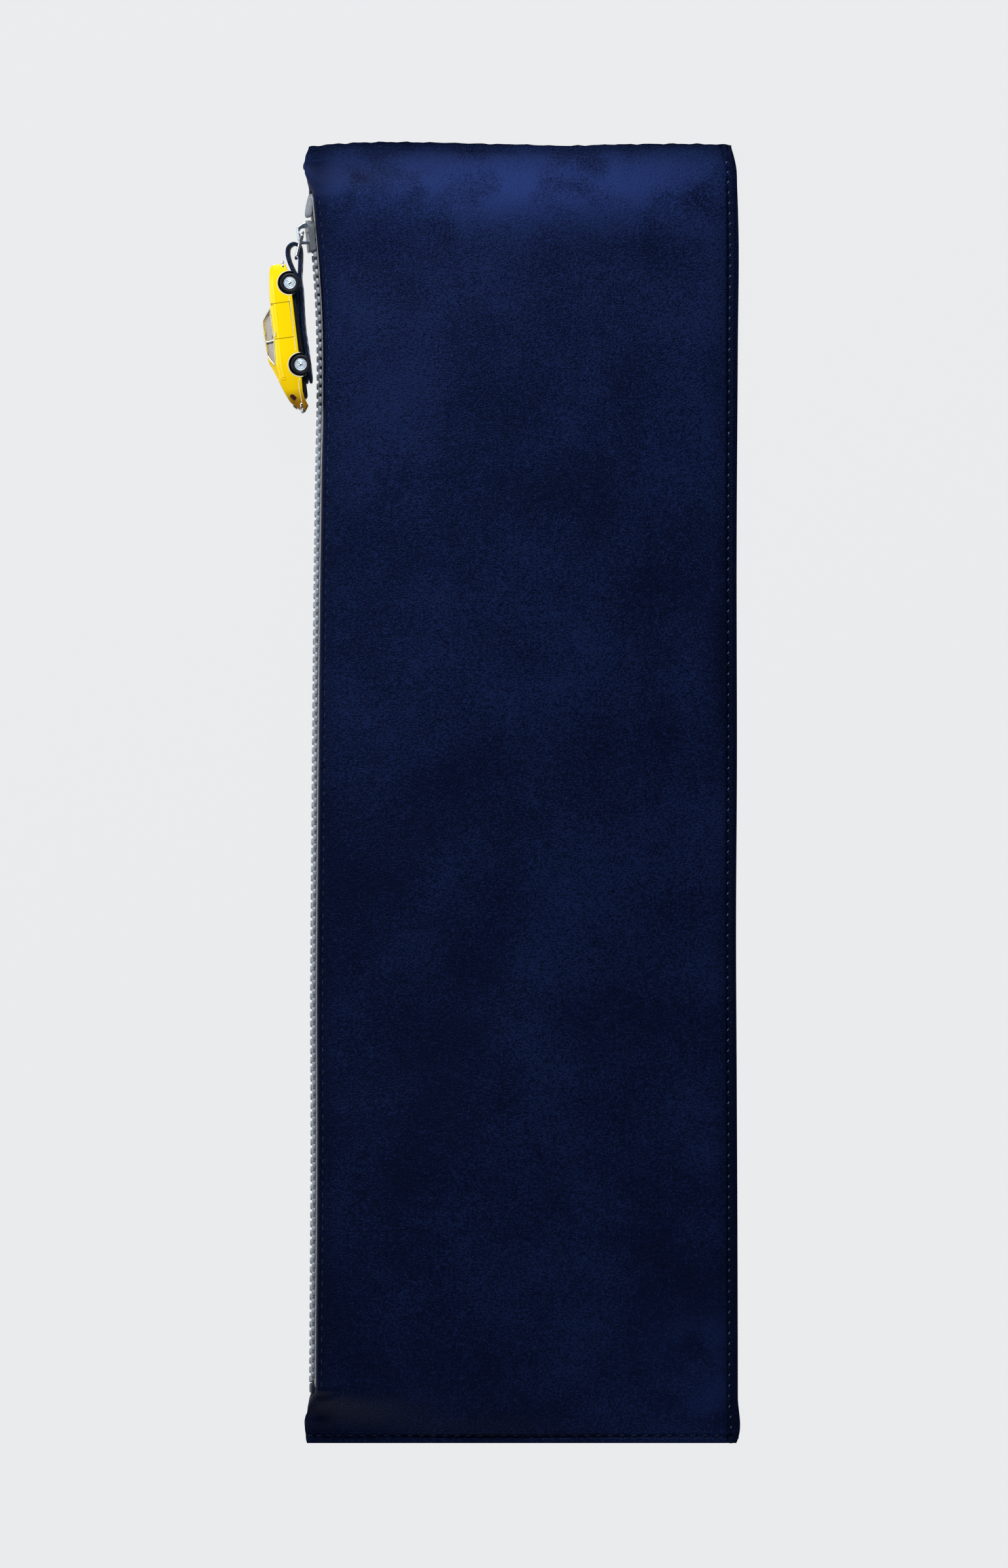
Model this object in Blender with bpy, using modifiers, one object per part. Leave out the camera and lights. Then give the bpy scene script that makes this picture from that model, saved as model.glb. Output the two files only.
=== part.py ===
"""Leather zip pouch with a toy car on its zip pull, lying flat on its back.

Metres, +Z up. The origin is on the flat underside, at the middle of the back panel.
+Y runs along the pouch towards the closed end of the zip's travel and -X is the zip side.
"""

import math

import bmesh
import bpy
import numpy as np
from mathutils import Matrix, Vector

MM = 0.001

# Pouch
POUCH_WIDTH = 146.0 * MM
POUCH_LENGTH = 437.6 * MM
ZIP_SIDE = -POUCH_WIDTH / 2  # side of the pouch that opens
LEATHER = 1.3 * MM
LINING = 0.5 * MM
SEAM_ALLOWANCE = 3.0 * MM
ZIP_HEIGHT = 7.6 * MM  # height of the chain's middle
EDGE_HEIGHT = ZIP_HEIGHT + 6.8 * MM  # outer height of the front leather at the zip
BULGE = 5.0 * MM  # extra height of the front between its seam and the zip
END_ROUNDING = 6.0  # power of the rounding at the two short ends
SIDE_ROUNDING = 48.0  # the same along the zip side, which stays full almost to its ends
ROUNDING_FOR = 437.6 * MM  # pouch length that these two powers hold for
NUB_LENGTH = 17.0 * MM  # leather that closes round the zip side past each zip end
NUB_EDGE = ZIP_SIDE + 0.3 * MM  # zip side of that leather
NUB_CURL = 8.0 * MM  # how far from the zip side the closed leather starts to curl
NUB_GAP = 0.9 * MM  # opening left where front and back stand edge to edge
NUB_SHAPE = 1.3  # power that makes its curl more pointed than a quarter round
NUB_SLACK = 1.4 * MM  # extra room between front and back where they slope down to the end seam
LINING_MARGIN = 24.0 * MM  # leather left bare inside the long seam
GAP = 0.3 * MM  # clearance between touching pieces
FINE_GAP = 0.15 * MM  # clearance between small pieces

# Zip
ZIP_ROLL = math.radians(8.0)  # the chain's outer face looks a little upward
ZIP_TILT = math.radians(5.0)  # how the slider leans along the chain
TOOTH_PITCH = 3.06 * MM
TOOTH_THICKNESS = 2.4 * MM
TOOTH_ROOT = 2.1 * MM
TOOTH_HEAD = 1.0 * MM
TOOTH_OVERLAP = 0.55 * MM  # reach of a head past the chain's middle
CHAIN_HALF_WIDTH = 3.2 * MM
SPINE = 0.7 * MM  # width of the beaded edge that carries the teeth
TAPE = 0.5 * MM
TAPE_FLAP = 4.2 * MM
STOP_LENGTH = 8.0 * MM
BOTTOM_STOP_LENGTH = 3.4 * MM
PULL_AT = POUCH_LENGTH / 2 - 31.8 * MM  # place of the slider's middle along the pouch
CHAIN_REACH = POUCH_LENGTH / 2 - 16.8 * MM  # length of its line each way from the middle
# That line from the closed end down: (share of the reach, distance in from the zip side)
CHAIN_LINE = [
    (1.0, 2.2 * MM),
    (187 / 202, 3.6 * MM),
    (178 / 202, 4.4 * MM),
    (165 / 202, 5.3 * MM),
    (150 / 202, 5.8 * MM),
    (130 / 202, 5.8 * MM),
    (110 / 202, 5.4 * MM),
    (68 / 202, 4.8 * MM),
    (-11 / 202, 4.1 * MM),
    (-64 / 202, 3.7 * MM),
    (-120 / 202, 3.8 * MM),
    (-1.0, 3.3 * MM),
]

# Slider
SLIDER_LENGTH = 10.8 * MM
PLATE = 1.1 * MM
CHANNEL_CLEARANCE = 0.3 * MM
SLOT = 1.3 * MM  # gap between the flanges that lets the tape out
FLANGE = 0.8 * MM
MOUTH_FLARE = 0.7 * MM
BAIL_WIDTH = 3.0 * MM
BAIL_THICKNESS = 0.8 * MM
RING_WIRE = 1.1 * MM
RING_LENGTH = 8.9 * MM
RING_INNER = 10.0 * MM
RING_LEAN = math.radians(14.0)
RING_HEIGHT = ZIP_HEIGHT + 0.4 * MM
RING_PIVOT = Vector((ZIP_SIDE - 0.5 * MM, PULL_AT + 1.0 * MM, RING_HEIGHT))

# Strap that carries the car
STRAP_WIDTH = 9.0 * MM
STRAP_LAYER = 1.4 * MM

# Toy car, in its own frame: x forward, y up, z to its right, origin midway between the axles
CAR_WIDTH = 18.6 * MM
CAR_PLACE = Vector((ZIP_SIDE - 2.9 * MM, PULL_AT - 29.8 * MM, RING_HEIGHT + 1.7 * MM))
CAR_TURN = math.radians(97.6)
WHEELBASE = 27.6 * MM
TYRE_RADIUS = 3.45 * MM
TYRE_WIDTH = 2.6 * MM
HUB_RADIUS = 2.05 * MM
AXLE_RADIUS = 0.5 * MM
ARCH_RADIUS = 4.05 * MM
BODY_WALL = 1.0 * MM
GLASS = 0.5 * MM
CAR_NOSE = 20.4 * MM
CAR_TAIL = -28.6 * MM
SILL = 0.2 * MM
BELT = 7.4 * MM
ROOF = 11.1 * MM
LAMP_RADIUS = 1.1 * MM


# ---------------------------------------------------------------- scene helpers
for old in list(bpy.data.objects):
    bpy.data.objects.remove(old, do_unlink=True)

PARTS = bpy.data.collections.new("zip_pouch")
CUTTERS = bpy.data.collections.new("cutters")
bpy.context.scene.collection.children.link(PARTS)
bpy.context.scene.collection.children.link(CUTTERS)
CUTTERS.hide_render = True


def finish(name, colour, roughness, metallic=0.0, alpha=1.0):
    """A Principled material."""
    made = bpy.data.materials.new(name)
    made.use_nodes = True
    shader = made.node_tree.nodes["Principled BSDF"]
    shader.inputs["Base Color"].default_value = (*colour, 1.0)
    shader.inputs["Roughness"].default_value = roughness
    shader.inputs["Metallic"].default_value = metallic
    shader.inputs["Alpha"].default_value = alpha
    return made


NAVY_LEATHER = finish("navy_leather", (0.006, 0.011, 0.036), 0.5)
LINING_CLOTH = finish("lining_cloth", (0.03, 0.04, 0.07), 0.9)
GREY_TAPE = finish("grey_tape", (0.24, 0.25, 0.27), 0.9)
GREY_TEETH = finish("grey_teeth", (0.30, 0.33, 0.38), 0.35)
GREY_METAL = finish("grey_metal", (0.22, 0.25, 0.29), 0.4, 0.6)
CHROME = finish("chrome", (0.8, 0.82, 0.85), 0.12, 1.0)
YELLOW_PAINT = finish("yellow_paint", (0.85, 0.58, 0.01), 0.25)
CLEAR_GLASS = finish("clear_glass", (0.8, 0.85, 0.85), 0.05, 0.0, 0.4)
CABIN_PLASTIC = finish("cabin_plastic", (0.12, 0.08, 0.06), 0.6)
BLACK_BASE = finish("black_base", (0.012, 0.012, 0.014), 0.5)
RUBBER = finish("rubber", (0.01, 0.01, 0.012), 0.7)
RED_LENS = finish("red_lens", (0.15, 0.01, 0.01), 0.2)


def place(name, mesh, surface=None, parent=None, collection=PARTS):
    """Links a mesh as a named object; with no surface it is a cutter."""
    made = bpy.data.objects.new(name, mesh)
    collection.objects.link(made)
    made.parent = parent
    if surface:
        mesh.materials.append(surface)
    else:
        made.hide_render = True
        made.display_type = "WIRE"
    return made


def empty(name, matrix, parent=None):
    """An empty at a place in its parent's frame."""
    made = bpy.data.objects.new(name, None)
    PARTS.objects.link(made)
    made.parent = parent
    made.matrix_local = matrix
    return made


def mesh_from(name, shape):
    """Turns a bmesh into a mesh with its faces pointing out."""
    bmesh.ops.recalc_face_normals(shape, faces=shape.faces)
    mesh = bpy.data.meshes.new(name)
    shape.to_mesh(mesh)
    shape.free()
    return mesh


def prism(name, outline, low, high, normal="z", segments=1):
    """A flat outline carried from low to high along one axis."""
    order = {"x": (2, 0, 1), "y": (0, 2, 1), "z": (0, 1, 2)}[normal]
    shape = bmesh.new()
    corners = [[a, b, low] for a, b in outline]
    verts = [shape.verts.new([c[i] for i in order]) for c in corners]
    step = Vector([0.0, 0.0, 0.0])
    step["xyz".index(normal)] = (high - low) / segments
    face = shape.faces.new(verts)
    for segment in range(segments):
        made = bmesh.ops.extrude_face_region(shape, geom=[face])
        moved = [v for v in made["geom"] if isinstance(v, bmesh.types.BMVert)]
        bmesh.ops.translate(shape, verts=moved, vec=step)
        if segment > 0:
            bmesh.ops.delete(shape, geom=[face], context="FACES_ONLY")
        face = next(f for f in made["geom"] if isinstance(f, bmesh.types.BMFace))
    return mesh_from(name, shape)


def turned(name, profile, steps, surface, parent, closed=False):
    """A profile of (radius, height) points turned about Z."""
    mesh = bpy.data.meshes.new(name)
    count = len(profile)
    edges = [(i, i + 1) for i in range(count - 1)] + ([(count - 1, 0)] if closed else [])
    mesh.from_pydata([(r, 0.0, h) for r, h in profile], edges, [])
    made = place(name, mesh, surface, parent)
    screw = made.modifiers.new("turn", "SCREW")
    screw.axis = "Z"
    screw.steps = screw.render_steps = steps
    screw.use_merge_vertices = True
    screw.merge_threshold = 0.00001
    screw.use_smooth_shade = True
    return made


def boolean(target, mesh, operation):
    """Joins a mesh to the target, or cuts it away."""
    tool = place(f"{target.name}_{operation.lower()}", mesh, None, target.parent, CUTTERS)
    modifier = target.modifiers.new(operation.lower(), "BOOLEAN")
    modifier.operation = operation
    modifier.solver = "EXACT"
    modifier.object = tool
    return modifier


def mirrored(outline):
    """The same outline on the other side of x = 0."""
    return [(-a, b) for a, b in reversed(outline)]


# ---------------------------------------------------------------- shape rules
def smooth_step(value, start, end):
    share = np.clip((value - start) / (end - start), 0.0, 1.0)
    return share * share * (3.0 - 2.0 * share)


def chain_x(along):
    """Where the chain's middle runs: a cubic Hermite line through CHAIN_LINE."""
    points = np.array(CHAIN_LINE[::-1]) * [CHAIN_REACH, 1.0] + [0.0, ZIP_SIDE]
    slopes = np.gradient(points[:, 1], points[:, 0])
    along = np.clip(along, points[0, 0], points[-1, 0])
    at = np.clip(np.searchsorted(points[:, 0], along) - 1, 0, len(points) - 2)
    span = points[at + 1, 0] - points[at, 0]
    share = (along - points[at, 0]) / span
    rise = share * share * (3 - 2 * share)
    return (
        points[at, 1] * (1 - rise)
        + points[at + 1, 1] * rise
        + span * slopes[at] * share * (1 - share) ** 2
        - span * slopes[at + 1] * share**2 * (1 - share)
    )


SEAM_TOP = 2 * LEATHER + GAP  # outer height where the two panels are sewn
HALF_LENGTH = POUCH_LENGTH / 2
SEAM_X = POUCH_WIDTH / 2
ZIP_END = HALF_LENGTH - NUB_LENGTH


def end_fall(along, power):
    """1 over most of the length, falling to 0 in a quarter round at both ends."""
    inner = HALF_LENGTH - SEAM_ALLOWANCE * 0.8
    share = np.clip(np.abs(along) / inner, 0.0, 1.0)
    return np.sqrt(1.0 - share ** (power * POUCH_LENGTH / ROUNDING_FOR))


def front_height(across, along):
    """Outer height of the front leather: a rising line plus a bulge, rounded off at the ends."""
    reach = np.clip((SEAM_X - SEAM_ALLOWANCE - across) / (POUCH_WIDTH - SEAM_ALLOWANCE), 0, 1)
    section = (EDGE_HEIGHT - SEAM_TOP) * reach + BULGE * np.sin(math.pi * reach**1.2)
    side = smooth_step(reach, 0.62, 0.97)
    fall = end_fall(along, END_ROUNDING) * (1 - side) + end_fall(along, SIDE_ROUNDING) * side
    return SEAM_TOP + section * fall


def meeting_height(along, front):
    """Height where this panel meets the other one past the zip's ends.

    Their outer faces are two walls apart where both lie flat, and edge to edge where they stand.
    """
    rise = 1 - smooth_step(abs(along), ZIP_END + 3 * MM, HALF_LENGTH - SEAM_ALLOWANCE * 0.8)
    middle = SEAM_TOP / 2 + (ZIP_HEIGHT - SEAM_TOP / 2) * rise
    apart = SEAM_TOP + (NUB_GAP - SEAM_TOP) * rise**12 + NUB_SLACK * 4 * rise * (1 - rise)
    return middle + (apart / 2 if front else -apart / 2)


def panel_point(share, along, front):
    """A point of a panel's outer surface, share running from the sewn side to the zip side."""
    edge = chain_x(along) + (0.3 * MM if front else -0.9 * MM)
    across = SEAM_X + share * (edge - SEAM_X)
    flat = front_height(across, along) if front else 0.0
    start = NUB_EDGE + NUB_CURL
    middle = meeting_height(along, front)
    if share < CURL_FROM:
        curl_x = SEAM_X + share / CURL_FROM * (start - SEAM_X)
        curl_z = front_height(curl_x, along) if front else 0.0
    else:
        angle = (share - CURL_FROM) / (1 - CURL_FROM) * math.pi / 2
        top = front_height(start, along) if front else 0.0
        curl_x = start - NUB_CURL * math.sin(angle) ** NUB_SHAPE
        curl_z = middle + (top - middle) * math.cos(angle)
    closed = smooth_step(abs(along), ZIP_END + 0.3 * MM, ZIP_END + 3.5 * MM)
    return Vector(
        (
            across + (curl_x - across) * closed,
            along,
            flat + (curl_z - flat) * closed,
        )
    )


LINING_END = 0.97  # share of the width where the lining stops, short of the zip
COLUMNS = 14
CURL_COLUMNS = 4
CURL_FROM = 1 - CURL_COLUMNS * 0.022
COLUMN_SHARES = np.concatenate(
    [
        np.linspace(0, CURL_FROM, COLUMNS - CURL_COLUMNS + 1)[:-1],
        np.linspace(CURL_FROM, 1, CURL_COLUMNS + 1),
    ]
)
INNER_ROWS = 8
ROWS = np.concatenate(
    [
        [HALF_LENGTH, HALF_LENGTH - 2.4 * MM, HALF_LENGTH - 4.4 * MM, HALF_LENGTH - 8 * MM],
        [ZIP_END + 4 * MM, ZIP_END, ZIP_END - 10 * MM],
        np.linspace(ZIP_END - 22 * MM, -ZIP_END + 22 * MM, INNER_ROWS),
    ]
)
ROWS = np.concatenate([ROWS, -ROWS[:7][::-1]])


def shell(name, shares, rows, front, depth, thickness, surface):
    """A skin with its outer face depth below the panel's outer surface."""
    shape = bmesh.new()
    bmesh.ops.create_grid(shape, x_segments=len(shares) - 1, y_segments=len(rows) - 1, size=1)
    for v in shape.verts:
        column = round((v.co.x + 1) / 2 * (len(shares) - 1))
        row = round((1 - v.co.y) / 2 * (len(rows) - 1))
        v.co = panel_point(shares[column], rows[row], front)
        v.co.z += -depth if front else depth
    mesh = bpy.data.meshes.new(name)
    bmesh.ops.recalc_face_normals(shape, faces=shape.faces)
    upward = sum(f.normal.z for f in shape.faces) > 0
    if upward != front:
        bmesh.ops.reverse_faces(shape, faces=shape.faces)
    shape.to_mesh(mesh)
    shape.free()
    made = place(name, mesh, surface)
    wall = made.modifiers.new("wall", "SOLIDIFY")
    wall.thickness = thickness
    wall.offset = -1
    return made


# ---------------------------------------------------------------- pouch
def make_pouch():
    """Two leather panels, each with its own lining."""
    shell("back_panel", COLUMN_SHARES, ROWS, False, 0.0, LEATHER, NAVY_LEATHER)
    shell("front_panel", COLUMN_SHARES, ROWS, True, 0.0, LEATHER, NAVY_LEATHER)
    lining_rows = ROWS[6:-6]
    bare = LINING_MARGIN / POUCH_WIDTH
    inner = COLUMN_SHARES[(COLUMN_SHARES > bare) & (COLUMN_SHARES < LINING_END)]
    shell("back_lining", inner, lining_rows, False, LEATHER + GAP, LINING, LINING_CLOTH)
    shell("front_lining", inner, lining_rows, True, LEATHER + 2 * GAP, LINING, LINING_CLOTH)


# ---------------------------------------------------------------- zip
def on_chain(mesh):
    """Moves a mesh modelled on a straight, upright chain at x = 0 onto the real chain line."""
    for v in mesh.vertices:
        lean = (v.co.z - ZIP_HEIGHT) * math.tan(ZIP_ROLL)
        v.co.x += float(chain_x(v.co.y)) + lean
    return mesh


TEETH_TOP = PULL_AT + 1.0 * MM
TEETH_END = -ZIP_END + BOTTOM_STOP_LENGTH + 0.5 * MM
TEETH = int((TEETH_TOP - TEETH_END - TOOTH_ROOT) / TOOTH_PITCH)


def tooth_row(name, side):
    """A comb: a beaded edge with tapered teeth that reach past the chain's middle."""
    start = TEETH_TOP - TOOTH_ROOT / 2 - (0 if side > 0 else TOOTH_PITCH / 2)
    outer, inner = CHAIN_HALF_WIDTH, CHAIN_HALF_WIDTH - SPINE
    shape = bmesh.new()

    def point(y, w):
        return shape.verts.new((-TOOTH_THICKNESS / 2, y, ZIP_HEIGHT + side * w))

    before = (point(TEETH_TOP + 0.1 * MM, inner), point(TEETH_TOP + 0.1 * MM, outer))
    for k in range(TEETH):
        y = start - k * TOOTH_PITCH
        root = (point(y + TOOTH_ROOT / 2, inner), point(y - TOOTH_ROOT / 2, inner))
        head = (point(y + TOOTH_HEAD / 2, -TOOTH_OVERLAP), point(y - TOOTH_HEAD / 2, -TOOTH_OVERLAP))
        edge = point(y - TOOTH_ROOT / 2, outer)
        shape.faces.new((before[0], root[0], root[1], edge, before[1]))
        shape.faces.new((root[0], head[0], head[1], root[1]))
        before = (root[1], edge)
    bmesh.ops.recalc_face_normals(shape, faces=shape.faces)
    made = bmesh.ops.extrude_face_region(shape, geom=shape.faces[:])
    moved = [v for v in made["geom"] if isinstance(v, bmesh.types.BMVert)]
    bmesh.ops.translate(shape, verts=moved, vec=(TOOTH_THICKNESS, 0.0, 0.0))
    return place(name, on_chain(mesh_from(name, shape)), GREY_TEETH)


def tape(name, side):
    """A woven strip that leaves the teeth and turns in between leather and lining."""
    near = CHAIN_HALF_WIDTH + FINE_GAP
    inner_face = (
        front_height(chain_x(0.0), 0.0) - LEATHER - 0.25 * MM if side > 0 else LEATHER + 0.35 * MM
    )
    reach = abs(inner_face - ZIP_HEIGHT)
    half = TAPE / 2
    section = [
        (-half, near),
        (half, near),
        (half, reach - TAPE),
        (TAPE_FLAP, reach - TAPE),
        (TAPE_FLAP, reach),
        (-half, reach),
    ]
    outline = [(x, ZIP_HEIGHT + side * w) for x, w in section]
    end = ZIP_END - 1.6 * MM
    mesh = on_chain(prism(name, outline, -end, end, "y", 24))
    return place(name, mesh, GREY_TAPE)


def make_zip():
    """Teeth, tapes and stops."""
    tooth_row("front_teeth", 1)
    tooth_row("back_teeth", -1)
    tape("front_tape", 1)
    tape("back_tape", -1)
    top = PULL_AT + SLIDER_LENGTH / 2 + 0.9 * MM
    for name, side in (("front_top_stop", 1), ("back_top_stop", -1)):
        low, high = FINE_GAP * 2, CHAIN_HALF_WIDTH - 0.2 * MM
        corner = 0.7 * MM
        outline = [
            (top + corner, low),
            (top + STOP_LENGTH, low),
            (top + STOP_LENGTH, high),
            (top + corner, high),
            (top, high - corner),
            (top, low + corner),
        ]
        outline = [(y, ZIP_HEIGHT + side * w) for y, w in outline]
        mesh = on_chain(prism(name, outline, -0.5 * TOOTH_THICKNESS, 0.5 * TOOTH_THICKNESS, "x"))
        place(name, mesh, GREY_TEETH)
    bottom = -ZIP_END
    half = CHAIN_HALF_WIDTH - 0.1 * MM
    outline = [
        (bottom, ZIP_HEIGHT - half),
        (bottom + BOTTOM_STOP_LENGTH, ZIP_HEIGHT - half),
        (bottom + BOTTOM_STOP_LENGTH, ZIP_HEIGHT + half),
        (bottom, ZIP_HEIGHT + half),
    ]
    thick = TOOTH_THICKNESS / 2 + 0.1 * MM
    place("bottom_stop", on_chain(prism("bottom_stop", outline, -thick, thick, "x")), GREY_METAL)


# ---------------------------------------------------------------- slider and ring
CHANNEL = TOOTH_THICKNESS / 2 + CHANNEL_CLEARANCE
WALL_AT = CHAIN_HALF_WIDTH + CHANNEL_CLEARANCE
SLIDER_HALF = SLIDER_LENGTH / 2
SLIDER_SIDE = WALL_AT + FLANGE


def slider_frame():
    """Slider frame: x across the chain, y along it, z out of its outer face."""
    axes = Matrix(((0, 0, -1), (0, 1, 0), (1, 0, 0))).to_4x4()
    turn = Matrix.Rotation(ZIP_TILT, 4, "Z") @ Matrix.Rotation(ZIP_ROLL, 4, "Y")
    middle = Vector((float(chain_x(PULL_AT)), PULL_AT, ZIP_HEIGHT))
    return empty("slider_frame", Matrix.Translation(middle) @ turn @ axes)


def make_slider(frame):
    """Two plates joined by a wedge at the mouth, flanges that guide the teeth, and a bail."""
    end, side, mouth = SLIDER_HALF, SLIDER_SIDE, SLIDER_SIDE + MOUTH_FLARE
    right = [
        (0.0, -end),
        (side - 0.8 * MM, -end),
        (side, -end + 0.8 * MM),
        (side, 0.3 * MM),
        (mouth, 2.0 * MM),
        (mouth, end - 1.6 * MM),
        (mouth - 1.4 * MM, end - 0.2 * MM),
        (0.0, end),
    ]
    plate = right + mirrored(right[1:-1])
    body = place("slider_body", prism("slider_body", plate, CHANNEL, CHANNEL + PLATE), GREY_METAL, frame)
    boolean(body, prism("inner_plate", plate, -CHANNEL - PLATE, -CHANNEL), "UNION")
    flange = [
        (WALL_AT, -end + 0.2 * MM),
        (side, -end + 0.8 * MM),
        (side, 0.3 * MM),
        (mouth, 2.0 * MM),
        (mouth, end - 1.6 * MM),
        (mouth - FLANGE, end - 1.6 * MM),
        (mouth - FLANGE, 2.2 * MM),
        (WALL_AT, 0.5 * MM),
    ]
    bite = 0.1 * MM
    for outline in (flange, mirrored(flange)):
        boolean(body, prism("outer_flange", outline, SLOT / 2, CHANNEL + bite), "UNION")
        boolean(body, prism("inner_flange", outline, -CHANNEL - bite, -SLOT / 2), "UNION")
    wedge = [(0.0, 1.7 * MM), (1.3 * MM, 3.7 * MM), (0.0, end - 0.3 * MM), (-1.3 * MM, 3.7 * MM)]
    boolean(body, prism("wedge", wedge, -CHANNEL - bite, CHANNEL + bite), "UNION")

    seat = CHANNEL + PLATE + FINE_GAP
    tunnel = RING_WIRE + 1.3 * MM
    top = seat + tunnel + BAIL_THICKNESS
    arch = [
        (5.0 * MM, seat),
        (4.6 * MM, seat + 1.5 * MM),
        (3.4 * MM, top),
        (-0.8 * MM, top),
        (-2.4 * MM, top - 1.2 * MM),
        (-2.8 * MM, seat),
        (-1.5 * MM, seat),
        (-1.3 * MM, seat + tunnel - 0.4 * MM),
        (-0.5 * MM, seat + tunnel),
        (2.2 * MM, seat + tunnel),
        (2.8 * MM, seat + tunnel - 0.5 * MM),
        (2.9 * MM, seat),
    ]
    half = BAIL_WIDTH / 2
    place("slider_bail", prism("slider_bail", arch, -half, half, "x"), CHROME, frame)


def make_ring():
    """A rectangular wire link, hanging from the bail."""
    matrix = Matrix.Translation(RING_PIVOT) @ Matrix.Rotation(-RING_LEAN, 4, "Z")
    pivot = empty("ring_pivot", matrix)
    curve = bpy.data.curves.new("pull_ring", "CURVE")
    curve.dimensions = "3D"
    curve.bevel_depth = RING_WIRE / 2
    curve.bevel_resolution = 1
    line = curve.splines.new("POLY")
    half = RING_INNER / 2 + RING_WIRE / 2
    corner = 1.4 * MM
    points = []
    for cx, cz, start in (
        (0.0 - corner, half - corner, 90),
        (0.0 - corner, -half + corner, 0),
        (-RING_LENGTH + corner, -half + corner, -90),
        (-RING_LENGTH + corner, half - corner, -180),
    ):
        for step in range(4):
            angle = math.radians(start - 30 * step)
            points.append((cx + corner * math.cos(angle), cz + corner * math.sin(angle)))
    line.points.add(len(points) - 1)
    for point, (down, across) in zip(line.points, points):
        point.co = (0.0, down, across, 1.0)
    line.use_cyclic_u = True
    ring = bpy.data.objects.new("pull_ring", curve)
    PARTS.objects.link(ring)
    curve.materials.append(CHROME)
    ring.parent = pivot
    low_bar = matrix @ Vector((0.0, -RING_LENGTH, 0.0))
    return empty("fob_pivot", Matrix.Translation(low_bar))


# ---------------------------------------------------------------- strap
# Millimetres across and along from the slider's place on the zip side
STRAP_LOOP_LEFT = [(-4.9, -3.9), (-5.2, -5.8), (-4.9, -7.6), (-4.2, -9.7), (-3.1, -12.1)]
STRAP_LOOP_RIGHT = [(-1.4, -3.4), (-0.9, -5.4), (-0.9, -8.4), (-1.0, -11.4)]
STRAP_JOIN = (-1.9, -14.4)
STRAP_TAIL = [(-1.4, -18.4), (-0.7, -29.8), (0.4, -38.0), (1.3, -44.8), (1.8, -49.6)]


def offset_line(points, distance):
    """The line moved to its left by a distance."""
    points = np.array(points, float) * MM
    along = np.gradient(points, axis=0)
    along /= np.linalg.norm(along, axis=1)[:, None]
    return points + distance * np.column_stack([-along[:, 1], along[:, 0]])


def make_strap(pivot):
    """One strap folded over the ring: a loop, then two layers together under the car."""
    centre = STRAP_LOOP_LEFT[::-1] + [(-3.3, -2.7)] + STRAP_LOOP_RIGHT
    loop = [STRAP_JOIN] + centre + [STRAP_JOIN]
    half = STRAP_LAYER / 2
    tail = [STRAP_JOIN] + STRAP_TAIL
    right = offset_line(tail, STRAP_LAYER)
    left = offset_line(tail, -STRAP_LAYER)
    outer = [tuple(p) for p in offset_line(loop, half)[1:-1]]
    outer += [tuple(p) for p in right] + [tuple(p) for p in left[::-1]]
    hole = [tuple(p) for p in offset_line(loop, -half)[2:-2]]
    hole.append((STRAP_JOIN[0] * MM + 0.1 * MM, STRAP_JOIN[1] * MM + 2.2 * MM))
    curve = bpy.data.curves.new("fob_strap", "CURVE")
    curve.dimensions = "2D"
    curve.fill_mode = "BOTH"
    curve.extrude = STRAP_WIDTH / 2
    for outline in (outer, hole):
        line = curve.splines.new("POLY")
        line.points.add(len(outline) - 1)
        for point, (x, y) in zip(line.points, outline):
            point.co = (x, y, 0.0, 1.0)
        line.use_cyclic_u = True
    strap = bpy.data.objects.new("fob_strap", curve)
    PARTS.objects.link(strap)
    curve.materials.append(NAVY_LEATHER)
    strap.parent = pivot
    strap.location = Vector((ZIP_SIDE, PULL_AT, RING_HEIGHT)) - pivot.location


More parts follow.
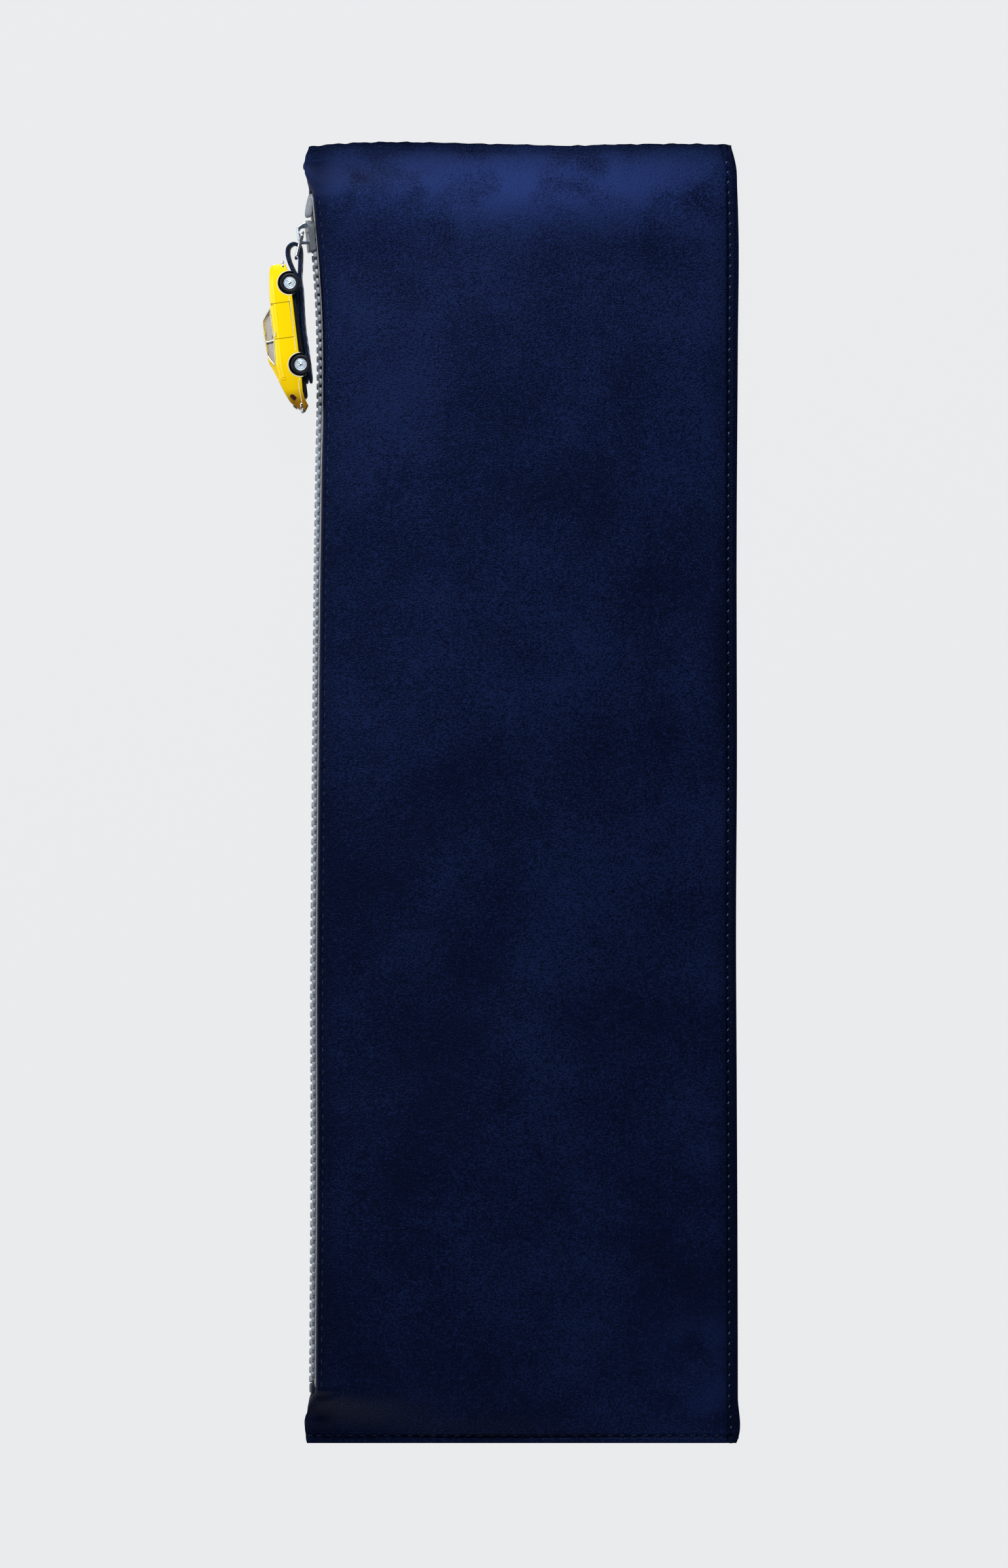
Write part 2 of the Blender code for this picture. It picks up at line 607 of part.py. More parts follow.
# ---------------------------------------------------------------- toy car
def make_car(pivot):
    """A die-cast fastback lying on its left side, its nose towards the ring."""
    matrix = Matrix.Translation(CAR_PLACE - pivot.location) @ Matrix.Rotation(CAR_TURN, 4, "Z")
    car = empty("car_frame", matrix, pivot)
    half = CAR_WIDTH / 2
    axles = {"front": WHEELBASE / 2, "rear": -WHEELBASE / 2}

    lower = [
        (CAR_NOSE - 0.6 * MM, SILL + 0.6 * MM),
        (CAR_NOSE, 3.2 * MM),
        (CAR_NOSE - 0.1 * MM, 5.8 * MM),
        (15.6 * MM, 6.8 * MM),
        (7.4 * MM, BELT),
        (-13.6 * MM, 8.2 * MM),
        (-20.0 * MM, 7.0 * MM),
        (-25.4 * MM, 5.4 * MM),
        (CAR_TAIL, 2.6 * MM),
        (CAR_TAIL + 0.4 * MM, SILL + 0.8 * MM),
        (-24.0 * MM, SILL),
        (9.0 * MM, SILL - 0.2 * MM),
    ]
    body = place("car_body", prism("car_body", lower, -half, half), YELLOW_PAINT, car)

    def cabin(name, inset, top, bottom):
        """A block inside the cabin's leaning walls, each moved in by the inset."""
        walls = [  # (place at the belt, place at the roof), for windscreen, tail and flank
            (7.6 * MM, 1.2 * MM),
            (-19.5 * MM, -10.8 * MM),
            (half - 0.5 * MM, half - 2.3 * MM),
        ]
        rise = ROOF - BELT
        levels = []
        for y in (bottom, top):
            at = []
            for belt, roof in walls:
                slope = math.hypot(roof - belt, rise) / rise
                inward = -inset * slope if belt > 0 else inset * slope
                at.append(belt + (roof - belt) * (y - BELT) / rise + inward)
            levels.append((y, at))
        shape = bmesh.new()
        corners = [(x, y, s * at[2]) for y, at in levels for x in at[:2] for s in (-1, 1)]
        bmesh.ops.convex_hull(shape, input=[shape.verts.new(c) for c in corners])
        return mesh_from(name, shape)

    boolean(body, cabin("cabin", 0.0, ROOF, BELT - MM), "UNION")
    hollow = cabin("cabin_hollow", BODY_WALL, ROOF - BODY_WALL, BELT - 1.8 * MM)
    boolean(body, hollow, "DIFFERENCE")
    cavity = [
        (CAR_NOSE - 2.0 * MM, -2.0 * MM),
        (CAR_NOSE - 2.0 * MM, 4.4 * MM),
        (8.0 * MM, BELT - 1.3 * MM),
        (-14.0 * MM, BELT - 1.1 * MM),
        (-24.6 * MM, 3.9 * MM),
        (-26.2 * MM, -2.0 * MM),
    ]
    wall = half - BODY_WALL
    boolean(body, prism("body_hollow", cavity, -wall, wall), "DIFFERENCE")
    window = [
        (4.9 * MM, BELT + 0.5 * MM),
        (1.0 * MM, ROOF - 0.8 * MM),
        (-9.6 * MM, ROOF - 0.9 * MM),
        (-13.4 * MM, BELT + 1.4 * MM),
        (-13.0 * MM, BELT + 0.8 * MM),
    ]
    boolean(body, prism("side_windows", window, -half - MM, half + MM), "DIFFERENCE")
    screen = [
        (9.5 * MM, BELT + 0.5 * MM),
        (1.9 * MM, BELT + 0.5 * MM),
        (1.4 * MM, ROOF - 0.7 * MM),
        (6.0 * MM, ROOF),
    ]
    screen_half = half - 3.2 * MM
    boolean(body, prism("windscreen", screen, -screen_half, screen_half), "DIFFERENCE")
    rear = [
        (-11.6 * MM, ROOF + 0.6 * MM),
        (-11.6 * MM, ROOF - 1.2 * MM),
        (-13.0 * MM, BELT + 1.5 * MM),
        (-18.0 * MM, BELT + 1.5 * MM),
    ]
    boolean(body, prism("rear_window", rear, -screen_half, screen_half), "DIFFERENCE")
    for where, x in axles.items():
        arch = [
            (x + ARCH_RADIUS * math.cos(math.radians(a)), ARCH_RADIUS * math.sin(math.radians(a)))
            for a in range(-20, 201, 20)
        ]
        arch += [(x - ARCH_RADIUS, -3.0 * MM), (x + ARCH_RADIUS, -3.0 * MM)]
        boolean(body, prism(f"{where}_arch", arch, -half - MM, half + MM), "DIFFERENCE")

    # glazing: one clear moulding that fills the windows from inside
    inset = BODY_WALL + FINE_GAP
    foot = BELT - 0.6 * MM
    glass = place("car_glazing", cabin("car_glazing", inset, ROOF - inset, foot), CLEAR_GLASS, car)
    hollow = cabin("glazing_hollow", inset + GLASS, ROOF - inset - GLASS, foot - MM)
    boolean(glass, hollow, "DIFFERENCE")

    # interior: floor tray with seats and dashboard
    tub_half = wall - 2.4 * MM
    floor = BELT - 3.6 * MM
    seats = [
        (4.4 * MM, floor),
        (4.4 * MM, BELT - 0.9 * MM),
        (2.6 * MM, BELT - 0.7 * MM),
        (2.2 * MM, floor + 0.8 * MM),
        (-1.8 * MM, floor + 0.8 * MM),
        (-2.8 * MM, BELT + 0.9 * MM),
        (-3.8 * MM, BELT + 0.9 * MM),
        (-4.2 * MM, floor + 0.8 * MM),
        (-8.2 * MM, floor + 0.8 * MM),
        (-9.0 * MM, BELT + 0.3 * MM),
        (-10.0 * MM, BELT + 0.1 * MM),
        (-10.4 * MM, floor),
    ]
    place("car_interior", prism("car_interior", seats, -tub_half, tub_half), CABIN_PLASTIC, car)

    # chassis: a plate under the body with a groove for each axle
    plate = [
        (CAR_NOSE - 2.4 * MM, -0.45 * MM),
        (CAR_NOSE - 2.4 * MM, 1.6 * MM),
        (-25.2 * MM, 1.6 * MM),
        (-25.2 * MM, -0.45 * MM),
    ]
    track = half - TYRE_WIDTH - 0.6 * MM
    base_half = track - 0.3 * MM
    chassis = place("car_chassis", prism("car_chassis", plate, -base_half, base_half), BLACK_BASE, car)
    slack = AXLE_RADIUS + 0.1 * MM
    for where, x in axles.items():
        groove = [
            (x - slack, -slack - 0.1 * MM),
            (x + slack, -slack - 0.1 * MM),
            (x + slack, slack),
            (x - slack, slack),
        ]
        boolean(chassis, prism(f"{where}_groove", groove, -half, half), "DIFFERENCE")

    # wheels: an axle, two hubs and two tyres on each
    tyre_out = half - 0.1 * MM
    for where, x in axles.items():
        spin = empty(f"{where}_axle_frame", Matrix.Translation((x, 0.0, 0.0)), car)
        reach = tyre_out - TYRE_WIDTH * 0.6
        rod = [(0, reach), (AXLE_RADIUS, reach), (AXLE_RADIUS, -reach), (0, -reach)]
        turned(f"{where}_axle", rod, 12, CHROME, spin)
        for side, sign in (("right", 1), ("left", -1)):
            mid = sign * (tyre_out - TYRE_WIDTH / 2)
            w = TYRE_WIDTH / 2
            rim = HUB_RADIUS + 0.06 * MM
            ring = [
                (TYRE_RADIUS - 0.35 * MM, mid + w),
                (TYRE_RADIUS, mid + w - 0.4 * MM),
                (TYRE_RADIUS, mid - w + 0.4 * MM),
                (TYRE_RADIUS - 0.35 * MM, mid - w),
                (rim, mid - w),
                (rim, mid + w),
            ]
            turned(f"{where}_{side}_tyre", ring, 24, RUBBER, spin, closed=True)
            bore = AXLE_RADIUS + 0.05 * MM
            deep = w - 0.25 * MM
            hub = [
                (HUB_RADIUS, mid + deep),
                (HUB_RADIUS, mid - deep),
                (bore, mid - deep),
                (bore, mid + deep),
            ]
            turned(f"{where}_{side}_hub", hub, 20, CHROME, spin, closed=True)

    # bumpers and lamps
    bar = [(0.0, 1.4 * MM), (0.8 * MM, 1.5 * MM), (0.9 * MM, 2.6 * MM), (0.0, 2.7 * MM)]
    nose = [(CAR_NOSE + GAP + a, b) for a, b in bar]
    tail = [(CAR_TAIL - GAP - a, b) for a, b in bar]
    place("front_bumper", prism("front_bumper", nose, -half + MM, half - MM), CHROME, car)
    place("rear_bumper", prism("rear_bumper", tail, -half + MM, half - MM), CHROME, car)
    lens = [
        (-26.2 * MM, 5.2 * MM),
        (-26.6 * MM, 5.5 * MM),
        (-28.5 * MM, 3.85 * MM),
        (-28.1 * MM, 3.5 * MM),
    ]
    for side, sign in (("right", 1), ("left", -1)):
        low, high = sorted((sign * 3.4 * MM, sign * (half - 0.6 * MM)))
        mesh = prism(f"{side}_tail_lamp", lens, low, high)
        place(f"{side}_tail_lamp", mesh, RED_LENS, car)
        middle = Vector((4.3 * MM, sign * (half - 2.6 * MM)))
        ring = [
            (middle.x + LAMP_RADIUS * math.cos(a), middle.y + LAMP_RADIUS * math.sin(a))
            for a in np.linspace(0, 2 * math.pi, 14, endpoint=False)
        ]
        front = CAR_NOSE + FINE_GAP
        mesh = prism(f"{side}_head_lamp", ring, front, front + 0.5 * MM, "x")
        place(f"{side}_head_lamp", mesh, CLEAR_GLASS, car)


def hang_front_half():
    """Parents the front of the pouch to an empty on the line it opens about."""
    pivot = empty("mouth_pivot", Matrix.Translation((SEAM_X, 0.0, SEAM_TOP / 2)))
    for name in ("front_panel", "front_lining", "front_tape", "front_teeth", "front_top_stop"):
        piece = bpy.data.objects[name]
        piece.parent = pivot
        piece.location = -pivot.location


make_pouch()
make_zip()
hang_front_half()
make_slider(slider_frame())
fob_pivot = make_ring()
make_strap(fob_pivot)
make_car(fob_pivot)
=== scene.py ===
"""Looks for a navy leather zip pouch that lies flat, with a small yellow car on its zip pull.

Metres, +Z up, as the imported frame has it. +Y runs to the end where the zip starts to open, -X to the zip.
"""

import math

import bmesh
import bpy
import numpy as np
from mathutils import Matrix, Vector


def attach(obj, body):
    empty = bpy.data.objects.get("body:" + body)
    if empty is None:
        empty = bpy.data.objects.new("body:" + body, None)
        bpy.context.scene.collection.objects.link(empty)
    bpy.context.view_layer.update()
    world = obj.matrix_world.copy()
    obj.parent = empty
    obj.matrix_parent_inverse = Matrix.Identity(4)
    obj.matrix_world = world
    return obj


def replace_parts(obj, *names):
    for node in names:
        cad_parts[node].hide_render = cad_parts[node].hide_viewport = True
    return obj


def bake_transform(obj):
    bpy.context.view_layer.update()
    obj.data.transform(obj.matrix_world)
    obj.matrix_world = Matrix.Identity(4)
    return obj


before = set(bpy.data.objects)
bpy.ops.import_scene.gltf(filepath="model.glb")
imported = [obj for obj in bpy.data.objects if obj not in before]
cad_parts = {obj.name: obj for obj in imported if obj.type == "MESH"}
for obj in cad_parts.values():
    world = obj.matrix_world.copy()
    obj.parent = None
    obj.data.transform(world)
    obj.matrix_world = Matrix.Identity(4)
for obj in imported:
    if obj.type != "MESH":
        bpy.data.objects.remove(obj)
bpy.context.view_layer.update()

MM = 0.001

# ------------------------------------------------------------------ camera
VIEW_HEIGHT = 526.9 * MM  # what the picture's long side spans at the pouch
LENS = 300.0
SENSOR = 36.0

camera_data = bpy.data.cameras.new("camera")
camera_data.lens = LENS
camera_data.sensor_width = SENSOR
camera = bpy.data.objects.new("camera", camera_data)
camera.location = (-5.9 * MM, 2.9 * MM, VIEW_HEIGHT * LENS / SENSOR + 7 * MM)
bpy.context.scene.collection.objects.link(camera)
bpy.context.scene.camera = camera
bpy.context.scene.view_settings.view_transform = "Standard"


# ------------------------------------------------------------------ shader maths
class Number:
    """A socket that carries a number. Each operator adds one Math node."""

    def __init__(self, finish, socket):
        self.finish, self.socket = finish, socket

    def math(self, operation, *others, clamp=False):
        """One Math node fed by numbers or sockets."""
        values = [o.socket if isinstance(o, Number) else o for o in others]
        made = self.finish.node(
            "ShaderNodeMath", {"operation": operation, "use_clamp": clamp}, dict(enumerate(values))
        )
        return Number(self.finish, made.outputs[0])

    def __add__(self, other):
        return self.math("ADD", self, other)

    def __radd__(self, other):
        return self.math("ADD", other, self)

    def __sub__(self, other):
        return self.math("SUBTRACT", self, other)

    def __rsub__(self, other):
        return self.math("SUBTRACT", other, self)

    def __mul__(self, other):
        return self.math("MULTIPLY", self, other)

    def __rmul__(self, other):
        return self.math("MULTIPLY", other, self)

    def __truediv__(self, other):
        return self.math("DIVIDE", self, other)

    def __pow__(self, other):
        return self.math("POWER", self, other)

    def __rpow__(self, other):
        return self.math("POWER", other, self)

    def __abs__(self):
        return self.math("ABSOLUTE", self)

    def sine(self):
        return self.math("SINE", self)

    def below(self, limit):
        return self.math("LESS_THAN", self, limit)

    def above(self, limit):
        return self.math("GREATER_THAN", self, limit)

    def clipped(self):
        return self.math("ADD", self, 0.0, clamp=True)

    def bell(self, middle, width):
        """e^-((x - middle) / width)^2: 1 at middle, falling off to both sides."""
        return math.e ** ((((self - middle) / width) ** 2.0) * -1.0)


class Finish:
    """A Principled material and the nodes that vary it."""

    def __init__(self, name, colour, roughness, **sockets):
        self.material = bpy.data.materials.new(name)
        self.material.use_nodes = True
        self.tree = self.material.node_tree
        self.shader = self.tree.nodes["Principled BSDF"]
        self.shader.inputs["Base Color"].default_value = (*colour, 1.0)
        self.shader.inputs["Roughness"].default_value = roughness
        for key, value in sockets.items():
            self.shader.inputs[key.replace("_", " ")].default_value = value
        self.places = self.node("ShaderNodeTexCoord")

    def node(self, kind, settings=None, inputs=None):
        """One node: its settings first, then the values or links of its sockets."""
        made = self.tree.nodes.new(kind)
        for key, value in (settings or {}).items():
            setattr(made, key, value)
        for key, value in (inputs or {}).items():
            value = value.socket if isinstance(value, Number) else value
            if isinstance(value, bpy.types.NodeSocket):
                self.tree.links.new(value, made.inputs[key])
            else:
                made.inputs[key].default_value = value
        return made

    def stretched(self, scale):
        """Object coordinates, multiplied along each axis."""
        inputs = {"Vector": self.places.outputs["Object"], "Scale": scale}
        return self.node("ShaderNodeMapping", {"vector_type": "POINT"}, inputs).outputs[0]

    def axes(self, vector=None):
        """The three parts of a coordinate as numbers."""
        vector = vector or self.places.outputs["Object"]
        parts = self.node("ShaderNodeSeparateXYZ", None, {0: vector})
        return [Number(self, out) for out in parts.outputs]

    def noise(self, size, detail=3.0, stretch=(1, 1, 1), bend=0.0):
        """Cloudy noise whose blotches are about size across."""
        made = self.node(
            "ShaderNodeTexNoise",
            {"noise_dimensions": "3D"},
            {
                "Vector": self.stretched(stretch),
                "Scale": 1.0 / size,
                "Detail": detail,
                "Distortion": bend,
            },
        )
        return Number(self, made.outputs[0])

    def cells(self, size, stretch=(1, 1, 1)):
        """Distance to the nearest of scattered points, about size apart."""
        inputs = {"Vector": self.stretched(stretch), "Scale": 1.0 / size}
        return Number(self, self.node("ShaderNodeTexVoronoi", {"feature": "F1"}, inputs).outputs["Distance"])

    def mix(self, share, first, second):
        """Colour from first to second by share."""
        made = self.node("ShaderNodeMix", {"data_type": "RGBA"})
        pairs = zip([made.inputs[0], made.inputs[6], made.inputs[7]], [share, first, second])
        for socket, value in pairs:
            value = value.socket if isinstance(value, Number) else value
            if isinstance(value, bpy.types.NodeSocket):
                self.tree.links.new(value, socket)
            else:
                socket.default_value = (*value, 1.0) if isinstance(value, tuple) else value
        return made.outputs[2]

    def feed(self, socket, value):
        """Links a varying value to a socket of the Principled shader."""
        value = value.socket if isinstance(value, Number) else value
        self.tree.links.new(value, self.shader.inputs[socket])

    def relief(self, height, distance):
        """Bump from a height of 0 to 1, distance deep."""
        made = self.node("ShaderNodeBump", None, {"Height": height, "Distance": distance, "Strength": 1.0})
        self.tree.links.new(made.outputs[0], self.shader.inputs["Normal"])


# ------------------------------------------------------------------ mesh makers
def build(name, points, faces, material, body, uv=None):
    """A smooth piece from points and faces, riding on a body unless that is left for later."""
    mesh = bpy.data.meshes.new(name)
    mesh.from_pydata(np.asarray(points).tolist(), [], [list(f) for f in faces])
    if uv is not None:
        layer = mesh.uv_layers.new(name="UVMap")
        corners = np.empty(len(mesh.loops), np.int32)
        mesh.loops.foreach_get("vertex_index", corners)
        layer.data.foreach_set("uv", np.asarray(uv, np.float32)[corners].ravel())
    mesh.polygons.foreach_set("use_smooth", np.full(len(mesh.polygons), True))
    mesh.materials.append(material.material)
    mesh.update()
    piece = bpy.data.objects.new(name, mesh)
    bpy.context.scene.collection.objects.link(piece)
    if body:
        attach(piece, body)
    return piece


def walled(piece, thickness, offset=-1):
    """Gives an open skin a wall, inwards or to both sides of it."""
    wall = piece.modifiers.new("wall", "SOLIDIFY")
    wall.thickness = thickness
    wall.offset = offset
    return wall


def face_out(piece):
    """Merges doubles and points the faces of a closed piece outwards."""
    shape = bmesh.new()
    shape.from_mesh(piece.data)
    bmesh.ops.remove_doubles(shape, verts=shape.verts, dist=1e-7)
    bmesh.ops.recalc_face_normals(shape, faces=shape.faces)
    shape.to_mesh(piece.data)
    shape.free()
    return piece


def quads(rows, columns, around=False):
    """Faces of a grid of points, rows by columns; around joins the last column to the first."""
    index = np.arange(rows * columns).reshape(rows, columns)
    if around:
        index = np.hstack([index, index[:, :1]])
    corners = (index[:-1, :-1], index[:-1, 1:], index[1:, 1:], index[1:, :-1])
    return np.stack(corners, -1).reshape(-1, 4)


def capped(rows, columns, closed=False):
    """Faces of a tube: rings of points in rows, with the two ends filled."""
    faces = quads(rows, columns, True).tolist()
    if closed:
        last = np.arange(columns) + (rows - 1) * columns
        first = np.arange(columns)
        following = np.roll(first, -1)
        faces += np.stack([last, last[following], following, first], -1).tolist()
    else:
        faces.append(list(range(columns))[::-1])
        faces.append(list(range((rows - 1) * columns, rows * columns)))
    return faces


def directions(path, closed=False):
    """Unit direction of a path at each of its points."""
    if closed:
        step = np.roll(path, -1, 0) - np.roll(path, 1, 0)
    else:
        step = np.gradient(path, axis=0)
    return step / np.linalg.norm(step, axis=1)[:, None]


def carried(path, section, up=(0, 0, 1), closed=False, scale=None):
    """Points of a section (side, up) carried along a path, with up kept as near as it can be."""
    path = np.asarray(path, float)
    along = directions(path, closed)
    side = np.cross(along, np.broadcast_to(np.asarray(up, float), along.shape))
    side /= np.linalg.norm(side, axis=1)[:, None]
    rise = np.cross(side, along)
    section = np.asarray(section, float)
    size = np.ones(len(path)) if scale is None else np.asarray(scale)
    return (
        path[:, None]
        + section[None, :, :1] * side[:, None] * size[:, None, None]
        + section[None, :, 1:] * rise[:, None] * size[:, None, None]
    )


def ring_of(radius, count, squash=1.0):
    """Points of a circle or an ellipse."""
    turn = np.linspace(0, 2 * np.pi, count, endpoint=False)
    return np.stack([radius * np.cos(turn), radius * squash * np.sin(turn)], -1)


def rounded_box(width, height, power, count):
    """Points of a superellipse, |a|^power + |b|^power = 1."""
    turn = np.linspace(0, 2 * np.pi, count, endpoint=False)
    c, s = np.cos(turn), np.sin(turn)
    return np.stack(
        [
            width / 2 * np.sign(c) * np.abs(c) ** (2 / power),
            height / 2 * np.sign(s) * np.abs(s) ** (2 / power),
        ],
        -1,
    )


def smooth_line(points, count, closed=False):
    """A Catmull-Rom line through points, sampled evenly by the share of its chords."""
    points = np.asarray(points, float)
    if closed:
        points = np.vstack([points[-1], points, points[0], points[1]])
    else:
        points = np.vstack([2 * points[0] - points[1], points, 2 * points[-1] - points[-2]])
    spans = np.linalg.norm(np.diff(points[1:-1], axis=0), axis=1)
    marks = np.concatenate([[0], np.cumsum(spans)])
    wanted = np.linspace(0, marks[-1], count, endpoint=not closed)
    at = np.clip(np.searchsorted(marks, wanted, side="right") - 1, 0, len(spans) - 1)
    t = ((wanted - marks[at]) / spans[at])[:, None]
    a, b, c, d = (points[at + k] for k in range(4))
    bend = 2 * a - 5 * b + 4 * c - d
    twist = 3 * b - a - 3 * c + d
    return 0.5 * (2 * b + (c - a) * t + bend * t**2 + twist * t**3)


def turned(points, angle):
    """Points turned about z."""
    x, y, z = np.moveaxis(np.asarray(points, float), -1, 0)
    c, s = math.cos(angle), math.sin(angle)
    return np.stack([x * c - y * s, x * s + y * c, z], -1)


def blob(half, power, around, rings):
    """Points and faces of a superellipsoid, a block with rounded edges: half is half its size.

    With f(t) = sign(t) |t|^(2 / power), a point is half * (f(cos a) f(cos b), f(cos a) f(sin b), f(sin a)).
    """
    lift = np.linspace(-np.pi / 2, np.pi / 2, rings + 2)[1:-1]
    turn = np.linspace(0, 2 * np.pi, around, endpoint=False)

    def soft(x):
        return np.sign(x) * np.abs(x) ** (2 / power)

    cl, sl = soft(np.cos(lift))[:, None], soft(np.sin(lift))[:, None]
    grid = np.stack(
        [cl * soft(np.cos(turn)), cl * soft(np.sin(turn)), sl * np.ones(around)], -1
    ).reshape(-1, 3)
    points = np.vstack([grid, [[0, 0, -1], [0, 0, 1]]]) * np.asarray(half)
    faces = quads(rings, around, True).tolist()
    first = np.arange(around)
    following = np.roll(first, -1)
    low, high = len(grid), len(grid) + 1
    faces += np.stack([following, first, np.full(around, low)], -1).tolist()
    top = (rings - 1) * around
    faces += np.stack([first + top, following + top, np.full(around, high)], -1).tolist()
    return points, faces


def many(points, faces, middles, axes):
    """One shape repeated: axes holds the three directions of each copy, middles its place."""
    placed = middles[:, None] + np.einsum("pk,nkj->npj", points, axes)
    shift = np.arange(len(middles)) * len(points)
    copies = []
    for size in sorted({len(f) for f in faces}):
        of_size = np.array([f for f in faces if len(f) == size])
        copies += (of_size[None] + shift[:, None, None]).reshape(-1, size).tolist()
    return placed.reshape(-1, 3), copies


def joined(*shapes):
    """Several (points, faces) as one."""
    points, faces, shift = [], [], 0
    for some, their in shapes:
        points.append(some)
        faces += [[i + shift for i in f] for f in their]
        shift += len(some)
    return np.vstack(points), faces


def softened(node, material, body, width, segments=2):
    """A copy of a CAD piece with its edges rounded."""
    mesh = bpy.data.meshes.new(f"{node}_soft")
    shape = bmesh.new()
    shape.from_mesh(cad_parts[node].data)
    bmesh.ops.remove_doubles(shape, verts=shape.verts, dist=1e-6)
    bmesh.ops.dissolve_limit(shape, angle_limit=math.radians(2), verts=shape.verts, edges=shape.edges)
    sharp = [e for e in shape.edges if len(e.link_faces) == 2 and e.calc_face_angle() > math.radians(24)]
    bmesh.ops.bevel(
        shape, geom=sharp, offset=width, segments=segments, profile=0.5, affect="EDGES", clamp_overlap=True
    )
    for face in shape.faces:
        face.smooth = True
    shape.to_mesh(mesh)
    shape.free()
    mesh.set_sharp_from_angle(angle=math.radians(50))
    mesh.materials.append(material.material)
    piece = bpy.data.objects.new(f"{node}_soft", mesh)
    bpy.context.scene.collection.objects.link(piece)
    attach(piece, body)
    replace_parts(piece, node)
    return piece


def lens_opening(piece):
    """Bakes a piece's placement into its mesh and reads its points into an array.
    """
    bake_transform(piece)
    spots = np.empty(len(piece.data.vertices) * 3)
    piece.data.vertices.foreach_get("co", spots)


def ride_half(piece, front):
    """Puts a back piece on the back half; a front piece only has its placement baked into its mesh."""
    if front:
        lens_opening(piece)
    else:
        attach(piece, "back_half")


SIDES = (("right", 1), ("left", -1))
HALVES = (("front", True), ("back", False))


# ------------------------------------------------------------------ the pouch's sizes
HALF_LENGTH = 218.8 * MM
SEAM_X = 73.0 * MM
LEATHER = 1.3 * MM
SEAM_TOP = 2.9 * MM  # outer height where the two leathers are sewn
SEAM_INSET = 3.0 * MM
EDGE_HEIGHT = 14.4 * MM  # outer height at the zip
BULGE = 5.0 * MM
FOLD = 1.4 * MM  # how far the leather turns in beside the zip
ZIP_END = 201.8 * MM
ZIP_HEIGHT = 7.6 * MM
ZIP_ROLL = math.radians(8.0)
FRONT_EDGE, BACK_EDGE = 0.55 * MM, -0.9 * MM  # the two leathers' edges, measured from the chain's middle
NUB_EDGE = -72.7 * MM  # zip side of the closed leather past the zip's ends
NUB_CURL = 8.0 * MM
CURL_FROM = 0.912  # share of the width where that leather starts to curl
SIDE_PITCH = 3.52 * MM  # stitches along the sewn side
HEM_PITCH = 3.74 * MM  # stitches along the other hems
# The chain's middle: (along, across)
CHAIN = np.array(
    [
        (-202, -69.7), (-120, -69.2), (-64, -69.3), (-11, -68.9), (68, -68.2), (110, -67.6),
        (130, -67.2), (150, -67.2), (165, -67.7), (178, -68.6), (187, -69.4), (202, -70.8),
    ]
) * MM
# How far the folded ends reach out beyond NUB_EDGE: (along, reach)
NUB_LINE = np.array(
    [
        (-218.8, -0.5), (-216.0, 0.0), (-213.0, 0.1), (-210.0, -0.1), (-207.0, -0.8), (-203.0, -1.2),
        (0.0, -1.0), (204.5, -0.9), (208.0, 0.0), (211.5, 0.4), (214.5, 0.2), (217.0, -0.5), (218.8, -1.2),
    ]
) * MM
# The sewn side, (along, across), and the upper end, (across, along)
SEWN_EDGE = np.array(
    [
        (-218.8, 72.3), (-217.5, 72.8), (-203, 72.8), (-130, 72.6), (-90, 72.4), (-50, 72.2), (10, 72.5),
        (80, 72.4), (150, 72.8), (190, 73.0), (203, 72.6), (211, 72.2), (215.5, 71.3), (218.0, 70.6),
    ]
) * MM
TOP_EDGE = np.array(
    [(-73, 217.0), (-68, 217.7), (-58, 218.5), (-50, 218.8), (-30, 218.7), (-14, 218.3), (0, 218.0),
     (14, 217.6), (30, 218.0), (60, 218.2), (71, 217.9)]
) * MM


# ------------------------------------------------------------------ finishes
NAVY_SHEEN = (0.16, 0.30, 1.0, 1.0)


